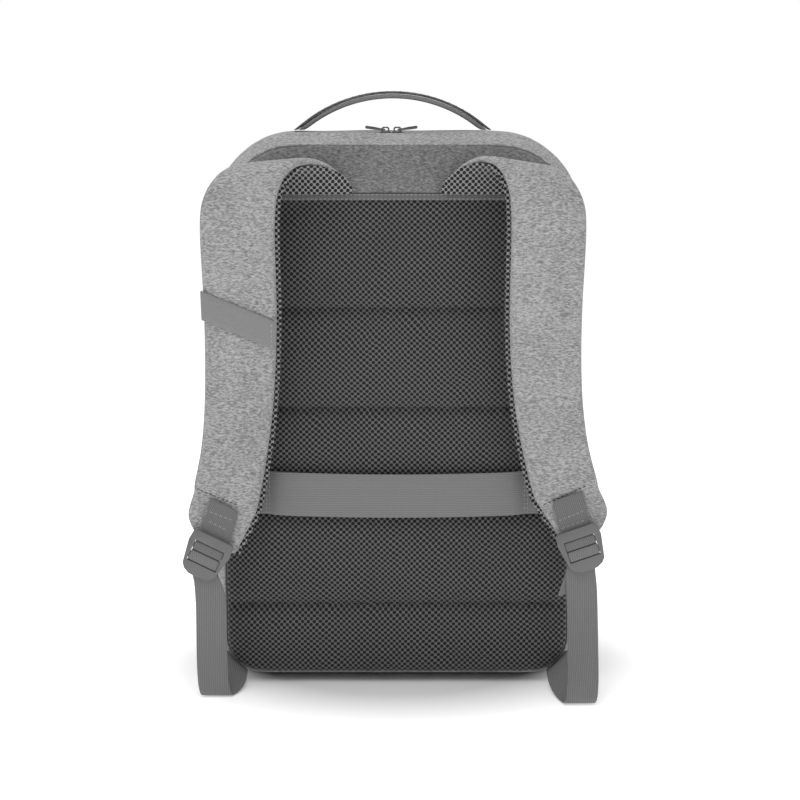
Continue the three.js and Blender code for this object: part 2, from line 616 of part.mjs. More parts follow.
// A ladder lock with the middle of its top edge on the origin, its face towards -Y.
function ladderLock() {
  const half = LOCK_WIDTH / 2;
  const slotHalf = WEBBING_WIDTH / 2 + LOCK_SIDE_CLEARANCE;
  const hip = half * LOCK_FOOT_SHARE;
  const plateTop = -windowBase + LOCK_TOP_PLATE / 4;
  const drop = LOCK_HEIGHT + plateTop;
  const foot = Array.from({ length: CORNER_STEPS + 1 }, (_, i) => {
    const angle = (Math.PI * i) / CORNER_STEPS;
    const squared = (value) => Math.sign(value) * Math.abs(value) ** LOCK_FOOT_SQUARENESS;
    return [-hip * squared(Math.cos(angle)), plateTop - drop * squared(Math.sin(angle))];
  });
  const swell = half + LOCK_SWELL;
  const swellZ = -LOCK_HEIGHT * LOCK_SWELL_AT;
  const frame = slab([[half - LOCK_CORNER, 0], [-half + LOCK_CORNER, 0], [-half, -LOCK_CORNER],
    [-swell, swellZ], ...foot, [swell, swellZ], [half, -LOCK_CORNER]],
  LOCK_THICKNESS, 0, [[[-slotHalf, -LOCK_TOP_PLATE],
    [-slotHalf, -windowBase], [slotHalf, -windowBase], [slotHalf, -LOCK_TOP_PLATE]]]);
  const bar = (top, base) => toSolid(
    box(-slotHalf - UNION_OVERLAP, slotHalf + UNION_OVERLAP,
      barFront, barFront + BAR_THICKNESS, -base, -top));
  return toGeometry(toSolid(frame)
    .add(bar(tabBarTop, tabBarBase)).add(bar(adjustBarTop, adjustBarBase)));
}

// One row of webbing from its middle and its tilt about Y.
function webbingRow(middle, tilt, back = -WEBBING_THICKNESS / 2) {
  const across = vector(Math.cos(radians(tilt)), 0, -Math.sin(radians(tilt)))
    .multiplyScalar(WEBBING_WIDTH / 2);
  return {
    a: middle.clone().sub(across), b: middle.clone().add(across),
    back, front: back + WEBBING_THICKNESS,
  };
}

// Points round a bar of the lock in Y and Z: up behind, over the front and back again.
const halfWebbing = WEBBING_THICKNESS / 2;
const behindLock = LOCK_THICKNESS / 2 + SEWN_GAP + halfWebbing;
const secondLayer = behindLock + WEBBING_THICKNESS + SEWN_GAP;
const overBar = barFront - SEWN_GAP - halfWebbing;
function roundBar(top, base) {
  const above = -top + SEWN_GAP + halfWebbing;
  const below = -base - SEWN_GAP - halfWebbing;
  return [
    [behindLock - TURN_LEAD, above], [overBar + TURN_CUT, above], [overBar, above - TURN_CUT],
    [overBar, below + TURN_CUT], [overBar + TURN_CUT, below], [behindLock - TURN_LEAD, below],
  ];
}

// Turns a place in the lock's own frame into the bag's.
function fromLock(lock, x, y, z) {
  return vector(x, y, z).applyAxisAngle(vector(0, 1, 0), radians(lock.tilt)).add(lock.place);
}

// The short webbing sewn on the strap's end, round the upper bar and sewn back on itself.
function strapTab(lock) {
  const wrap = roundBar(tabBarTop, tabBarBase);
  const path = [
    [lock.lean, behindLock, TAB_LENGTH],
    [lock.lean * 0.3, behindLock, TAB_LENGTH * 0.45],
    [0, behindLock, 0],
    [0, behindLock, wrap[0][1] + halfWebbing],
    ...wrap.map(([y, z]) => [0, y, z]),
    [0, secondLayer, wrap[5][1] + halfWebbing],
    [0, secondLayer, -tabBarTop],
    [0, secondLayer, -LOCK_TOP_PLATE / 2],
  ];
  return band(path.map(([x, y, z]) => webbingRow(fromLock(lock, x, y, z), lock.tilt)), FLAT_SECTION);
}

// The long webbing: a short tail, over the lower bar, down to a loop on the floor and back to
// the bag's lower corner. Each row below the lock holds its height as a share of the lock's and
// its reach as a share of the way out to the loop's far side, counted from the lock on the way
// down and from the pad on the way back. run is the sideways share from the lock to RUN_X, and
// anchor and turn the shares of the anchor's place and tilt.
const RUN_ROWS = [
  { down: true, height: 0.86, reach: 0.0, run: 0.7, anchor: 0, turn: 0.4 },
  { down: true, height: 0.72, reach: 0.02, run: 0.95, anchor: 0, turn: 0.08 },
  { down: true, height: 0.5, reach: 0.12, run: 1, anchor: 0, turn: 0 },
  { down: true, height: 0.34, reach: 0.38, run: 1, anchor: 0.02, turn: 0 },
  { down: true, height: 0.2, reach: 0.7, run: 1, anchor: 0.06, turn: 0 },
  { down: true, height: 0.1, reach: 0.93, run: 1, anchor: 0.12, turn: 0 },
  { down: true, height: 0.045, reach: 1.0, run: 1, anchor: 0.18, turn: 0 },
  { down: false, height: 0.012, reach: 0.975, run: 1, anchor: 0.24, turn: 0 },
  { down: false, height: 0, reach: 0.93, run: 1, anchor: 0.3, turn: 0 },
  { down: false, height: 0.004, reach: 0.8, run: 1, anchor: 0.45, turn: 0.05 },
  { down: false, height: 0.03, reach: 0.6, run: 1, anchor: 0.65, turn: 0.2 },
  { down: false, height: 0.075, reach: 0.38, run: 1, anchor: 0.82, turn: 0.5 },
  { down: false, height: 0.115, reach: 0.16, run: 1, anchor: 0.95, turn: 0.85 },
  { down: false, height: 0.13, reach: 0, run: 1, anchor: 1, turn: 1 },
];

function adjusterWebbing(lock, reach) {
  const wrap = roundBar(adjustBarTop, adjustBarBase);
  const local = (x, y, z) => webbingRow(fromLock(lock, x, y, z), lock.tilt);
  const exitZ = -LOCK_HEIGHT * LOCK_EXIT_DOWN;
  const exitX = -LOCK_WIDTH * LOCK_EXIT_OUT * lock.side;
  const exit = fromLock(lock, exitX, behindLock, exitZ);
  const tail = [1, 0.5, 0.2].map((share) => local(-TAIL_LEAN * lock.side * share,
    secondLayer + SEWN_GAP, -adjustBarBase - TAIL_LENGTH * share));
  const inLock = [
    ...tail,
    local(0, secondLayer, -adjustBarBase + ADJUST_BAR / 2),
    local(0, secondLayer, wrap[0][1] - halfWebbing),
    ...wrap.map(([y, z]) => local(0, y, z)),
    local(0, behindLock, wrap[5][1] - halfWebbing),
    local(exitX, behindLock, exitZ),
  ];
  const cornerRadius = BASE_CORNER_RADIUS - BASE_INSET;
  const cornerReach = (cornerRadius + SEWN_GAP + halfWebbing) * Math.SQRT1_2;
  const anchorX = lock.side * (SEAM_HALF_WIDTH - cornerRadius + cornerReach);
  const anchorZ = BASE_INSET + cornerRadius - cornerReach;
  const anchorY = BACK_PLANE - 2 * SEWN_GAP;
  const run = RUN_ROWS.map((row, i) => {
    const isEnd = i === RUN_ROWS.length - 1;
    const x = THREE.MathUtils.lerp(exit.x, lock.side * RUN_X, row.run);
    const onFloor = halfWebbing + FLOOR_GAP;
    const z = isEnd ? anchorZ : onFloor + row.height * exit.z;
    const nearY = row.down ? exit.y : PAD_FACE;
    const y = isEnd ? anchorY : THREE.MathUtils.lerp(nearY, PAD_FACE - reach, row.reach);
    const cornerTilt = row.anchor > 0 ? -lock.side * 45 : lock.tilt;
    return webbingRow(vector(THREE.MathUtils.lerp(x, anchorX, row.anchor), y, z),
      row.turn * cornerTilt);
  });
  return band([...inLock, ...run], FLAT_SECTION);
}

function piece(name, geometry, finish) {
  const mesh = new THREE.Mesh(geometry, new THREE.MeshStandardMaterial(finish));
  mesh.name = name;
  return mesh;
}

// The strap of one side with its lining, tab, lock and webbing.
function strapAssembly(strap) {
  const { label, side } = strap;
  const rows = strapRows(strap);
  const end = rows[rows.length - 1];
  const lockZ = (end.a.z + end.b.z) / 2 + LOCK_ABOVE_END;
  const underTab = rows.filter(({ a, b }) => a.x * side > STRAP_ROOT_X + strap.drift
    && (a.z + b.z) / 2 < lockZ + TAB_LENGTH + WEBBING_WIDTH / 4);
  const facePlane = Math.min(...underTab.map((row) => row.a.y - row.thick / 2));
  const lock = {
    side,
    tilt: -side * strap.tilt,
    lean: side * strap.tabLean,
    place: vector(side * strap.lockX, facePlane - 2 * SEWN_GAP - halfWebbing - behindLock, lockZ),
  };
  const group = new THREE.Group();
  group.add(
    piece(`strap_${label}`, strapPadding(rows, side), HEATHER),
    piece(`strap_lining_${label}`, strapLining(rows, side), MESH),
    piece(`strap_tab_${label}`, strapTab(lock), WEBBING),
    piece(`adjuster_webbing_${label}`, adjusterWebbing(lock, strap.loopReach), WEBBING),
  );
  const buckle = piece(`ladder_lock_${label}`, ladderLock(), PLASTIC);
  buckle.position.copy(lock.place);
  buckle.rotation.y = radians(lock.tilt);
  group.add(buckle);
  if (strap === LEFT_STRAP) group.add(piece('keeper_band', keeperBand(rows, side), WEBBING));
  return group;
}

// The slider and the pull of one side; both pulls lie outwards.
function zipAssembly(label, side) {
  const group = new THREE.Group();
  const slider = piece(`zip_slider_${label}`, zipSlider(), METAL);
  slider.position.set(sliderX(side), zipperY, sliderTop);
  const pull = piece(`zip_pull_${label}`, zipPull(), METAL);
  pull.position.set(sliderX(side) + side * PIVOT_SHIFT, zipperY, sliderTop + pivotHeight);
  pull.rotation.y = side > 0 ? radians(-PULL_REST_ANGLE) : radians(180 + PULL_REST_ANGLE);
  group.add(slider, pull);
  return group;
}

const backpack = new THREE.Group();
backpack.add(
  piece('bag_shell', bagShell(), HEATHER),
  piece('back_pad', backPad(), MESH),
  piece('back_yoke', backYoke(), HEATHER),
  piece('yoke_binding', yokeBinding(), WEBBING),
  piece('trolley_strap', trolleyStrap(), WEBBING),
  piece('main_zipper', mainZipper(), METAL),
  piece('handle_core', handleLayer(0, HANDLE_CORE), WEBBING),
  piece('handle_cover', handleLayer(HANDLE_CORE + SEWN_GAP, HANDLE_CORE + SEWN_GAP + HANDLE_COVER),
    HEATHER),
  strapAssembly(LEFT_STRAP),
  strapAssembly(RIGHT_STRAP),
  zipAssembly('left', -1),
  zipAssembly('right', 1),
);

export default backpack;
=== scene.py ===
"""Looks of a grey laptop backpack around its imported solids, seen from its back panel.

Metres, +Z up, +X to the right of the back panel, -Y out of the back panel.
"""

import logging
import math
from dataclasses import dataclass, field
from enum import Enum
from typing import Callable, Iterable, Sequence

import bmesh
import bpy
from mathutils import Matrix, Vector, noise
from mathutils.bvhtree import BVHTree


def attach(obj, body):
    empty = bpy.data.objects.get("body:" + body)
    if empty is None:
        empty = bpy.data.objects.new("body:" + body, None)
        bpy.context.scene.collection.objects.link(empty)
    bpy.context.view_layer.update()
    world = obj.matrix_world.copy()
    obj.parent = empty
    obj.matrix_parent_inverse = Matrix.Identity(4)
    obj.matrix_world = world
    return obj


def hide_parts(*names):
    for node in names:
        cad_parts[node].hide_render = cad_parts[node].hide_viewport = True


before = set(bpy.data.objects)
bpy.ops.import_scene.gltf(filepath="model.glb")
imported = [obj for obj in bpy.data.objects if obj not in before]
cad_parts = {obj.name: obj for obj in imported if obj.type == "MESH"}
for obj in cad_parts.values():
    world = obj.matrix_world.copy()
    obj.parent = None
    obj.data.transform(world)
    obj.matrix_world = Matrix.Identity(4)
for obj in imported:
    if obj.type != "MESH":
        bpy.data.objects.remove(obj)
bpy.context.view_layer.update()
LOG = logging.getLogger("backpack")

Place = tuple[float, float, float]
Seam = tuple[tuple[float, float], tuple[float, float]]

MERGE_DISTANCE = 0.00001
WEBBING_THREAD = 0.0006
BEFORE_THE_BAG = -0.3
ABOVE_THE_BAG = 0.6


class Slot(Enum):
    """Material slots of the record."""

    HEATHER = "heather_cloth"
    MESH = "spacer_mesh"
    WEBBING = "webbing"
    ZIPPER = "zipper_tape"
    PLASTIC = "moulded_plastic"
    METAL = "zip_metal"


class Run(Enum):
    """The axis across which a webbing's ribs repeat."""

    X = 0
    Y = 1
    Z = 2


def linear(level: float) -> float:
    """Turn a display level from 0 to 255 into linear light.

    Args:
        level: grey level as displayed.

    Returns:
        The linear value from 0 to 1.
    """
    share = level / 255
    return share / 12.92 if share <= 0.04045 else ((share + 0.055) / 1.055) ** 2.4


def grey(level: float, blue: float = 1.0) -> tuple[float, float, float, float]:
    """A grey colour, a little cool where blue is over 1."""
    value = linear(level)
    return (value, value, min(value * blue, 1.0), 1.0)


class Graph:
    """Adds and joins the nodes of one node tree."""

    def __init__(self, tree: bpy.types.NodeTree) -> None:
        """Keep the tree that the nodes go into."""
        self.tree = tree

    def add(self, kind: str, **inputs: object) -> bpy.types.Node:
        """Add a node.

        Args:
            kind: the node's type name.
            inputs: sockets by name, with spaces as underscores, each a value or another socket.

        Returns:
            The new node.
        """
        node = self.tree.nodes.new(kind)
        for name, value in inputs.items():
            self.put(node.inputs[name.replace("_", " ")], value)
        return node

    def put(self, socket: bpy.types.NodeSocket, value: object) -> None:
        """Link a socket, or set the value, into an input."""
        if isinstance(value, bpy.types.NodeSocket):
            self.tree.links.new(value, socket)
        else:
            socket.default_value = value

    def math(self, operation: str, *values: object) -> bpy.types.NodeSocket:
        """Add a Math node.

        Args:
            operation: the node's operation.
            values: its inputs in order.

        Returns:
            The node's output.
        """
        node = self.tree.nodes.new("ShaderNodeMath")
        node.operation = operation
        for socket, value in zip(node.inputs, values):
            self.put(socket, value)
        return node.outputs[0]

    def mix(self, factor: object, first: object, second: object) -> bpy.types.NodeSocket:
        """Mix two colours by a factor and return the result."""
        node = self.tree.nodes.new("ShaderNodeMix")
        node.data_type = "RGBA"
        self.put(node.inputs[0], factor)
        self.put(node.inputs[6], first)
        self.put(node.inputs[7], second)
        return node.outputs[2]


def new_group(name: str, inputs: Sequence[tuple[str, str, object]],
              outputs: Sequence[str]) -> tuple[Graph, bpy.types.Node, bpy.types.Node]:
    """Start a shader node group.

    Args:
        name: the group's name.
        inputs: name, socket type and default of each input.
        outputs: names of the float outputs.

    Returns:
        The group's graph, its input node and its output node.
    """
    tree = bpy.data.node_groups.new(name, "ShaderNodeTree")
    for label, kind, default in inputs:
        socket = tree.interface.new_socket(name=label, in_out="INPUT", socket_type=kind)
        if default is not None:
            socket.default_value = default
    for label in outputs:
        tree.interface.new_socket(name=label, in_out="OUTPUT", socket_type="NodeSocketFloat")
    return Graph(tree), tree.nodes.new("NodeGroupInput"), tree.nodes.new("NodeGroupOutput")


def build_fleck_group() -> bpy.types.NodeTree:
    """Heather grain: mottled flecks and the fine weave between them.

    Returns:
        The group, with outputs Fleck and Height.
    """
    graph, source, sink = new_group(
        "heather_grain",
        [("Vector", "NodeSocketVector", None), ("Weave Pitch", "NodeSocketFloat", 0.0008)],
        ["Fleck", "Height"])
    stretched = graph.add("ShaderNodeMapping", Vector=source.outputs["Vector"],
                          Rotation=(0.0, 0.5, 0.0), Scale=(0.4, 0.8, 1.0))
    coarse = graph.add("ShaderNodeTexNoise", Vector=stretched.outputs[0], Scale=880.0,
                       Detail=2.0, Roughness=0.55)
    fine = graph.add("ShaderNodeTexNoise", Vector=source.outputs["Vector"], Scale=2600.0,
                     Detail=1.0)
    cloud = graph.add("ShaderNodeTexNoise", Vector=source.outputs["Vector"], Scale=28.0,
                      Detail=2.0)
    blend = graph.math("MULTIPLY_ADD", fine.outputs[0], 0.3,
                       graph.math("MULTIPLY", coarse.outputs[0], 0.7))
    wide = graph.math("MULTIPLY_ADD", graph.math("SUBTRACT", cloud.outputs[0], 0.5), 0.12, blend)
    fleck = graph.add("ShaderNodeMapRange", Value=wide, From_Min=0.38, From_Max=0.62)
    parts = graph.add("ShaderNodeSeparateXYZ", Vector=source.outputs["Vector"])
    turn = graph.math("DIVIDE", 2 * math.pi, source.outputs["Weave Pitch"])
    warp = graph.math("SINE", graph.math(
        "MULTIPLY", graph.math("ADD", parts.outputs[0], parts.outputs[1]), turn))
    weft = graph.math("SINE", graph.math(
        "MULTIPLY", graph.math("ADD", parts.outputs[2], parts.outputs[1]), turn))
    weave = graph.math("MULTIPLY", warp, weft)
    height = graph.math("MULTIPLY_ADD", weave, 0.25, fleck.outputs[0])
    graph.put(sink.inputs["Fleck"], fleck.outputs[0])
    graph.put(sink.inputs["Height"], height)
    return graph.tree


def build_hole_group() -> bpy.types.NodeTree:
    """Spacer mesh: staggered rows of oval holes between threads.

    Returns:
        The group, with outputs Thread, 1 on a thread and 0 in a hole, and Shade.
    """
    sway_reach, hole_radius = 0.004, 0.315
    # The whole part keeps the shares positive, and the half sets the second lattice between.
    first_lattice, second_lattice = 100.0, 100.5
    graph, source, sink = new_group(
        "spacer_mesh_holes",
        [("Vector", "NodeSocketVector", None), ("Pitch", "NodeSocketFloat", 0.0049),
         ("Row", "NodeSocketFloat", 0.0047), ("Hole", "NodeSocketFloat", 1.0)],
        ["Thread", "Shade"])
    bend = graph.add("ShaderNodeTexNoise", Vector=source.outputs["Vector"], Scale=35.0)
    sway = graph.math("MULTIPLY", graph.math("SUBTRACT", bend.outputs[0], 0.5), sway_reach)
    parts = graph.add("ShaderNodeSeparateXYZ", Vector=source.outputs["Vector"])
    up = graph.math("DIVIDE", graph.math("ADD", parts.outputs[2], sway), source.outputs["Row"])
    along = graph.math("DIVIDE", graph.math("ADD", parts.outputs[0], sway),
                       source.outputs["Pitch"])

    def centre_distance(shift: float) -> bpy.types.NodeSocket:
        """Distance to the nearest hole of one of the two interleaved lattices."""
        offs = [graph.math("SUBTRACT", graph.math("FRACT", graph.math("ADD", value, shift)), 0.5)
                for value in (along, up)]
        return graph.math("SQRT", graph.math("ADD", graph.math("POWER", offs[0], 2.0),
                                             graph.math("POWER", offs[1], 2.0)))

    nearest = graph.math("MINIMUM", centre_distance(first_lattice),
                         centre_distance(second_lattice))
    reach = graph.math("DIVIDE", nearest, hole_radius)
    sized = graph.math("DIVIDE", reach, source.outputs["Hole"])
    thread = graph.add("ShaderNodeMapRange", Value=sized, From_Min=0.88, From_Max=1.08)
    patch = graph.add("ShaderNodeTexNoise", Vector=source.outputs["Vector"], Scale=14.0)
    graph.put(sink.inputs["Thread"], thread.outputs[0])
    graph.put(sink.inputs["Shade"], patch.outputs[0])
    return graph.tree


def build_rib_group() -> bpy.types.NodeTree:
    """Woven webbing: fine ribs along its length, crossed by its weft.

    Returns:
        The group, with outputs Rib and Height.
    """
    graph, source, sink = new_group(
        "webbing_ribs",
        [("Across", "NodeSocketFloat", 0.0), ("Along", "NodeSocketFloat", 0.0),
         ("Vector", "NodeSocketVector", None), ("Rib Pitch", "NodeSocketFloat", 0.0015)],
        ["Rib", "Height"])
    turn = graph.math("DIVIDE", 2 * math.pi, source.outputs["Rib Pitch"])
    rib = graph.math("MULTIPLY_ADD", graph.math("SINE", graph.math(
        "MULTIPLY", source.outputs["Across"], turn)), 0.5, 0.5)
    weft = graph.math("MULTIPLY_ADD", graph.math("SINE", graph.math(
        "MULTIPLY", source.outputs["Along"], graph.math("MULTIPLY", turn, 1.6))), 0.5, 0.5)
    yarn = graph.add("ShaderNodeTexNoise", Vector=source.outputs["Vector"], Scale=900.0,
                     Detail=2.0)
    mixed = graph.math("MULTIPLY_ADD", weft, 0.25, graph.math("MULTIPLY", rib, 0.55))
    graph.put(sink.inputs["Rib"], graph.math("MULTIPLY_ADD", yarn.outputs[0], 0.3, mixed))
    graph.put(sink.inputs["Height"], mixed)
    return graph.tree


@dataclass(frozen=True)
class Groups:
    """The node groups that several finishes share."""

    fleck: bpy.types.NodeTree
    holes: bpy.types.NodeTree
    ribs: bpy.types.NodeTree


@dataclass(frozen=True)
class Finish:
    """What all finishes share: a name, two grey levels, roughness and the depth of the bump."""

    name: str
    dark: float
    light: float
    roughness: float = 0.9
    bump: float = 0.0003
    sheen: float = 0.15

    def start(self) -> tuple[bpy.types.Material, Graph, bpy.types.Node, bpy.types.NodeSocket]:
        """Make the material with its shader.

        Returns:
            The material, its graph, the shader and the Object coordinates.
        """
        material = bpy.data.materials.new(self.name)
        material.use_nodes = True
        graph = Graph(material.node_tree)
        shader = material.node_tree.nodes["Principled BSDF"]
        shader.inputs["Roughness"].default_value = self.roughness
        shader.inputs["Sheen Weight"].default_value = self.sheen
        shader.inputs["Sheen Roughness"].default_value = 0.5
        place = graph.add("ShaderNodeTexCoord").outputs["Object"]
        return material, graph, shader, place

    def close(self, graph: Graph, shader: bpy.types.Node, factor: bpy.types.NodeSocket,
              height: bpy.types.NodeSocket) -> None:
        """Join the colour mask and the bump to the shader.

        Args:
            graph: the material's graph.
            shader: its shader.
            factor: mask from the dark level to the light one.
            height: what the bump follows.
        """
        graph.put(shader.inputs["Base Color"],
                  graph.mix(factor, grey(self.dark), grey(self.light, 1.01)))
        bump = graph.add("ShaderNodeBump", Height=height, Distance=self.bump, Strength=0.7)
        graph.put(shader.inputs["Normal"], bump.outputs[0])


@dataclass(frozen=True)
class HeatherCloth(Finish):
    """Grey heather polyester."""

    def build(self, groups: Groups) -> bpy.types.Material:
        """Build the material from the shared groups."""
        material, graph, shader, place = self.start()
        grain = graph.add("ShaderNodeGroup")
        grain.node_tree = groups.fleck
        graph.put(grain.inputs["Vector"], place)
        self.close(graph, shader, grain.outputs["Fleck"], grain.outputs["Height"])
        return material


@dataclass(frozen=True)
class SpacerMesh(Finish):
    """Dark spacer mesh with oval holes, painted near black: partly the mesh's dark inner layer,
    partly painted shade down in the holes.
    """

    hole: float = 1.0

    def build(self, groups: Groups) -> bpy.types.Material:
        """Build the material from the shared groups."""
        material, graph, shader, place = self.start()
        holes = graph.add("ShaderNodeGroup")
        holes.node_tree = groups.holes
        graph.put(holes.inputs["Vector"], place)
        graph.put(holes.inputs["Hole"], self.hole)
        shaded = graph.math("MULTIPLY_ADD", holes.outputs["Shade"], 0.5, 0.75)
        factor = graph.math("MULTIPLY", holes.outputs["Thread"], shaded)
        self.close(graph, shader, factor, holes.outputs["Thread"])
        return material


@dataclass(frozen=True)
class Webbing(Finish):
    """Woven webbing whose ribs run at right angles to one axis, turned about Y."""

    across: Run = Run.X
    along: Run = Run.Z
    turn: float = 0.0
    pitch: float = 0.0015

    def build(self, groups: Groups) -> bpy.types.Material:
        """Build the material from the shared groups."""
        material, graph, shader, place = self.start()
        turned = graph.add("ShaderNodeMapping", Vector=place,
                           Rotation=(0.0, math.radians(self.turn), 0.0))
        parts = graph.add("ShaderNodeSeparateXYZ", Vector=turned.outputs[0])
        ribs = graph.add("ShaderNodeGroup")
        ribs.node_tree = groups.ribs
        graph.put(ribs.inputs["Vector"], place)
        graph.put(ribs.inputs["Across"], parts.outputs[self.across.value])
        graph.put(ribs.inputs["Along"], parts.outputs[self.along.value])
        graph.put(ribs.inputs["Rib Pitch"], self.pitch)
        self.close(graph, shader, ribs.outputs["Rib"], ribs.outputs["Height"])
        return material


@dataclass(frozen=True)
class Hard(Finish):
    """Moulded plastic or coated metal with a fine grain."""

    metallic: float = 0.0
    sheen: float = 0.0
    worn: float = 0.08

    def build(self, groups: Groups) -> bpy.types.Material:
        """Build the material; it uses none of the cloth groups."""
        material, graph, shader, place = self.start()
        grain = graph.add("ShaderNodeTexNoise", Vector=place, Scale=1800.0, Detail=2.0)
        wear = graph.add("ShaderNodeTexNoise", Vector=place, Scale=90.0, Detail=3.0)
        shader.inputs["Metallic"].default_value = self.metallic
        rough = graph.add("ShaderNodeMapRange", Value=wear.outputs[0],
                          To_Min=self.roughness - self.worn,
                          To_Max=self.roughness + self.worn)
        graph.put(shader.inputs["Roughness"], rough.outputs[0])
        self.close(graph, shader, wear.outputs[0], grain.outputs[0])
        return material


def copy_node(node: str) -> bmesh.types.BMesh:
    """Copy a CAD node's mesh with its doubles merged and its triangles joined.

    Args:
        node: the node's name.

    Returns:
        The merged copy.
    """
    bm = bmesh.new()
    bm.from_mesh(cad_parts[node].data)
    bmesh.ops.remove_doubles(bm, verts=bm.verts[:], dist=MERGE_DISTANCE)
    bmesh.ops.join_triangles(bm, faces=bm.faces[:], angle_face_threshold=math.radians(35),
                             angle_shape_threshold=math.radians(50))
    return bm


def crease_edges(bm: bmesh.types.BMesh, angle: float, amount: float) -> None:
    """Crease the edges that fold by more than an angle.

    Args:
        bm: the mesh.
        angle: smallest fold in degrees.
        amount: crease from 0 to 1.
    """
    layer = bm.edges.layers.float.get("crease_edge") or bm.edges.layers.float.new("crease_edge")
    for edge in bm.edges:
        if len(edge.link_faces) == 2 and edge.calc_face_angle(0.0) > math.radians(angle):
            edge[layer] = amount


def subdivide(obj: bpy.types.Object, levels: int) -> None:
    """Add a subdivision surface with equal levels in view and render."""
    modifier = obj.modifiers.new("soft", "SUBSURF")
    modifier.levels = modifier.render_levels = levels


def publish(bm: bmesh.types.BMesh, name: str, material: bpy.types.Material,
            replaces: Sequence[str] = (), body: str = "bag") -> bpy.types.Object:
    """Turn a finished mesh into a piece that rides on a body.

    Args:
        bm: the mesh, which is freed.
        name: the piece's name.
        material: its finish.
        replaces: CAD nodes that it stands for.
        body: the body that it moves with.

    Returns:
        The new object.
    """
    mesh = bpy.data.meshes.new(name)
    bm.to_mesh(mesh)
    bm.free()
    mesh.shade_smooth()
    mesh.materials.append(material)
    obj = bpy.data.objects.new(name, mesh)
    bpy.context.scene.collection.objects.link(obj)
    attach(obj, body)
    if replaces:
        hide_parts(*replaces)
    LOG.info("%s: %d faces", name, len(mesh.polygons))
    return obj


def evaluated_mesh(obj: bpy.types.Object) -> bpy.types.Mesh:
    """A new mesh of the object with its modifiers applied."""
    graph = bpy.context.evaluated_depsgraph_get()
    return bpy.data.meshes.new_from_object(obj.evaluated_get(graph))


def apply_modifiers(obj: bpy.types.Object) -> None:
    """Apply all the modifiers of an object to its mesh."""
    mesh = evaluated_mesh(obj)
    obj.modifiers.clear()
    obj.data = mesh


@dataclass(frozen=True)
class Inflation:
    """Cloth simulation that swells a padded piece."""

    voxel: float = 0.005
    pressure: float = 4.0
    frames: int = 20
    cap: float = 0.004

    def run(self, obj: bpy.types.Object, freedom: Callable[[Vector], float]) -> None:
        """Remesh the piece and swell it, then add one subdivision.

        Args:
            obj: the piece.
            freedom: 0 where a place is sewn down and 1 where it may move.
        """
        remesh = obj.modifiers.new("even", "REMESH")
        remesh.mode = "VOXEL"
        remesh.voxel_size = self.voxel
        apply_modifiers(obj)
        rest = [vertex.co.copy() for vertex in obj.data.vertices]
        group = obj.vertex_groups.new(name="sewn")
        for index, place in enumerate(rest):
            group.add([index], 1.0 - freedom(place), "REPLACE")
        cloth = obj.modifiers.new("swell", "CLOTH")
        cloth.settings.vertex_group_mass = group.name
        cloth.settings.use_pressure = True
        cloth.settings.uniform_pressure_force = self.pressure
        cloth.settings.effector_weights.gravity = 0.0
        cloth.point_cache.frame_end = self.frames
        for step in range(1, self.frames + 1):
            bpy.context.scene.frame_set(step)
        swollen = [vertex.co.copy() for vertex in evaluated_mesh(obj).vertices]
        obj.modifiers.clear()
        bpy.context.scene.frame_set(1)
        for vertex, start, end in zip(obj.data.vertices, rest, swollen):
            move = end - start
            limit = self.cap * freedom(start)
            if move.length > limit:
                move = move.normalized() * limit
            vertex.co = start + move
        obj.vertex_groups.clear()
        subdivide(obj, 1)
        apply_modifiers(obj)


class Stitches:
    """Thread stitches laid on the faces of finished pieces, all in one mesh."""

    def __init__(self) -> None:
        """Start with no stitches."""
        self.bm = bmesh.new()

    def add(self, start: Vector, end: Vector, normal: Vector, width: float) -> None:
        """Lay one stitch.

        Args:
            start: where the thread comes up.
            end: where it goes down.
            normal: out of the cloth.
            width: the thread's thickness.
        """
        along = end - start
        side = normal.cross(along).normalized()
        out = along.cross(side).normalized()
        matrix = Matrix((
            (along.x, side.x * width, out.x * width * 0.7, (start.x + end.x) / 2),
            (along.y, side.y * width, out.y * width * 0.7, (start.y + end.y) / 2),
            (along.z, side.z * width, out.z * width * 0.7, (start.z + end.z) / 2),
            (0.0, 0.0, 0.0, 1.0)))
        bmesh.ops.create_uvsphere(self.bm, u_segments=6, v_segments=4, radius=0.5, matrix=matrix)

    def row(self, tree: BVHTree, start: tuple[float, float], end: tuple[float, float],
            length: float = 0.0026, gap: float = 0.0009, width: float = 0.0007) -> None:
        """Lay a straight row on what a tree holds, as seen along +Y.

        Args:
            tree: the surface.
            start: x and z of the row's start.
            end: x and z of its end.
            length: of one stitch.
            gap: between stitches.
            width: of the thread.
        """
        first = Vector((start[0], BEFORE_THE_BAG, start[1]))
        last = Vector((end[0], BEFORE_THE_BAG, end[1]))
        count = max(int((last - first).length / (length + gap)), 1)
        step = (last - first) / count
        share = length / (length + gap)
        for i in range(count):
            near = tree.ray_cast(first + step * i, Vector((0, 1, 0)))
            far = tree.ray_cast(first + step * (i + share), Vector((0, 1, 0)))
            if near[0] is None or far[0] is None or (near[0] - far[0]).length > 2.0 * length:
                continue
            self.add(near[0], far[0], near[1], width)


def tree_of(*objects: bpy.types.Object) -> BVHTree:
    """A ray-casting tree of the objects with their modifiers.

    Args:
        objects: the pieces.

    Returns:
        One tree for all of them.
    """
    bm = bmesh.new()
    for obj in objects:
        mesh = evaluated_mesh(obj)
        bm.from_mesh(mesh)
        bpy.data.meshes.remove(mesh)
    tree = BVHTree.FromBMesh(bm)
    bm.free()
    return tree


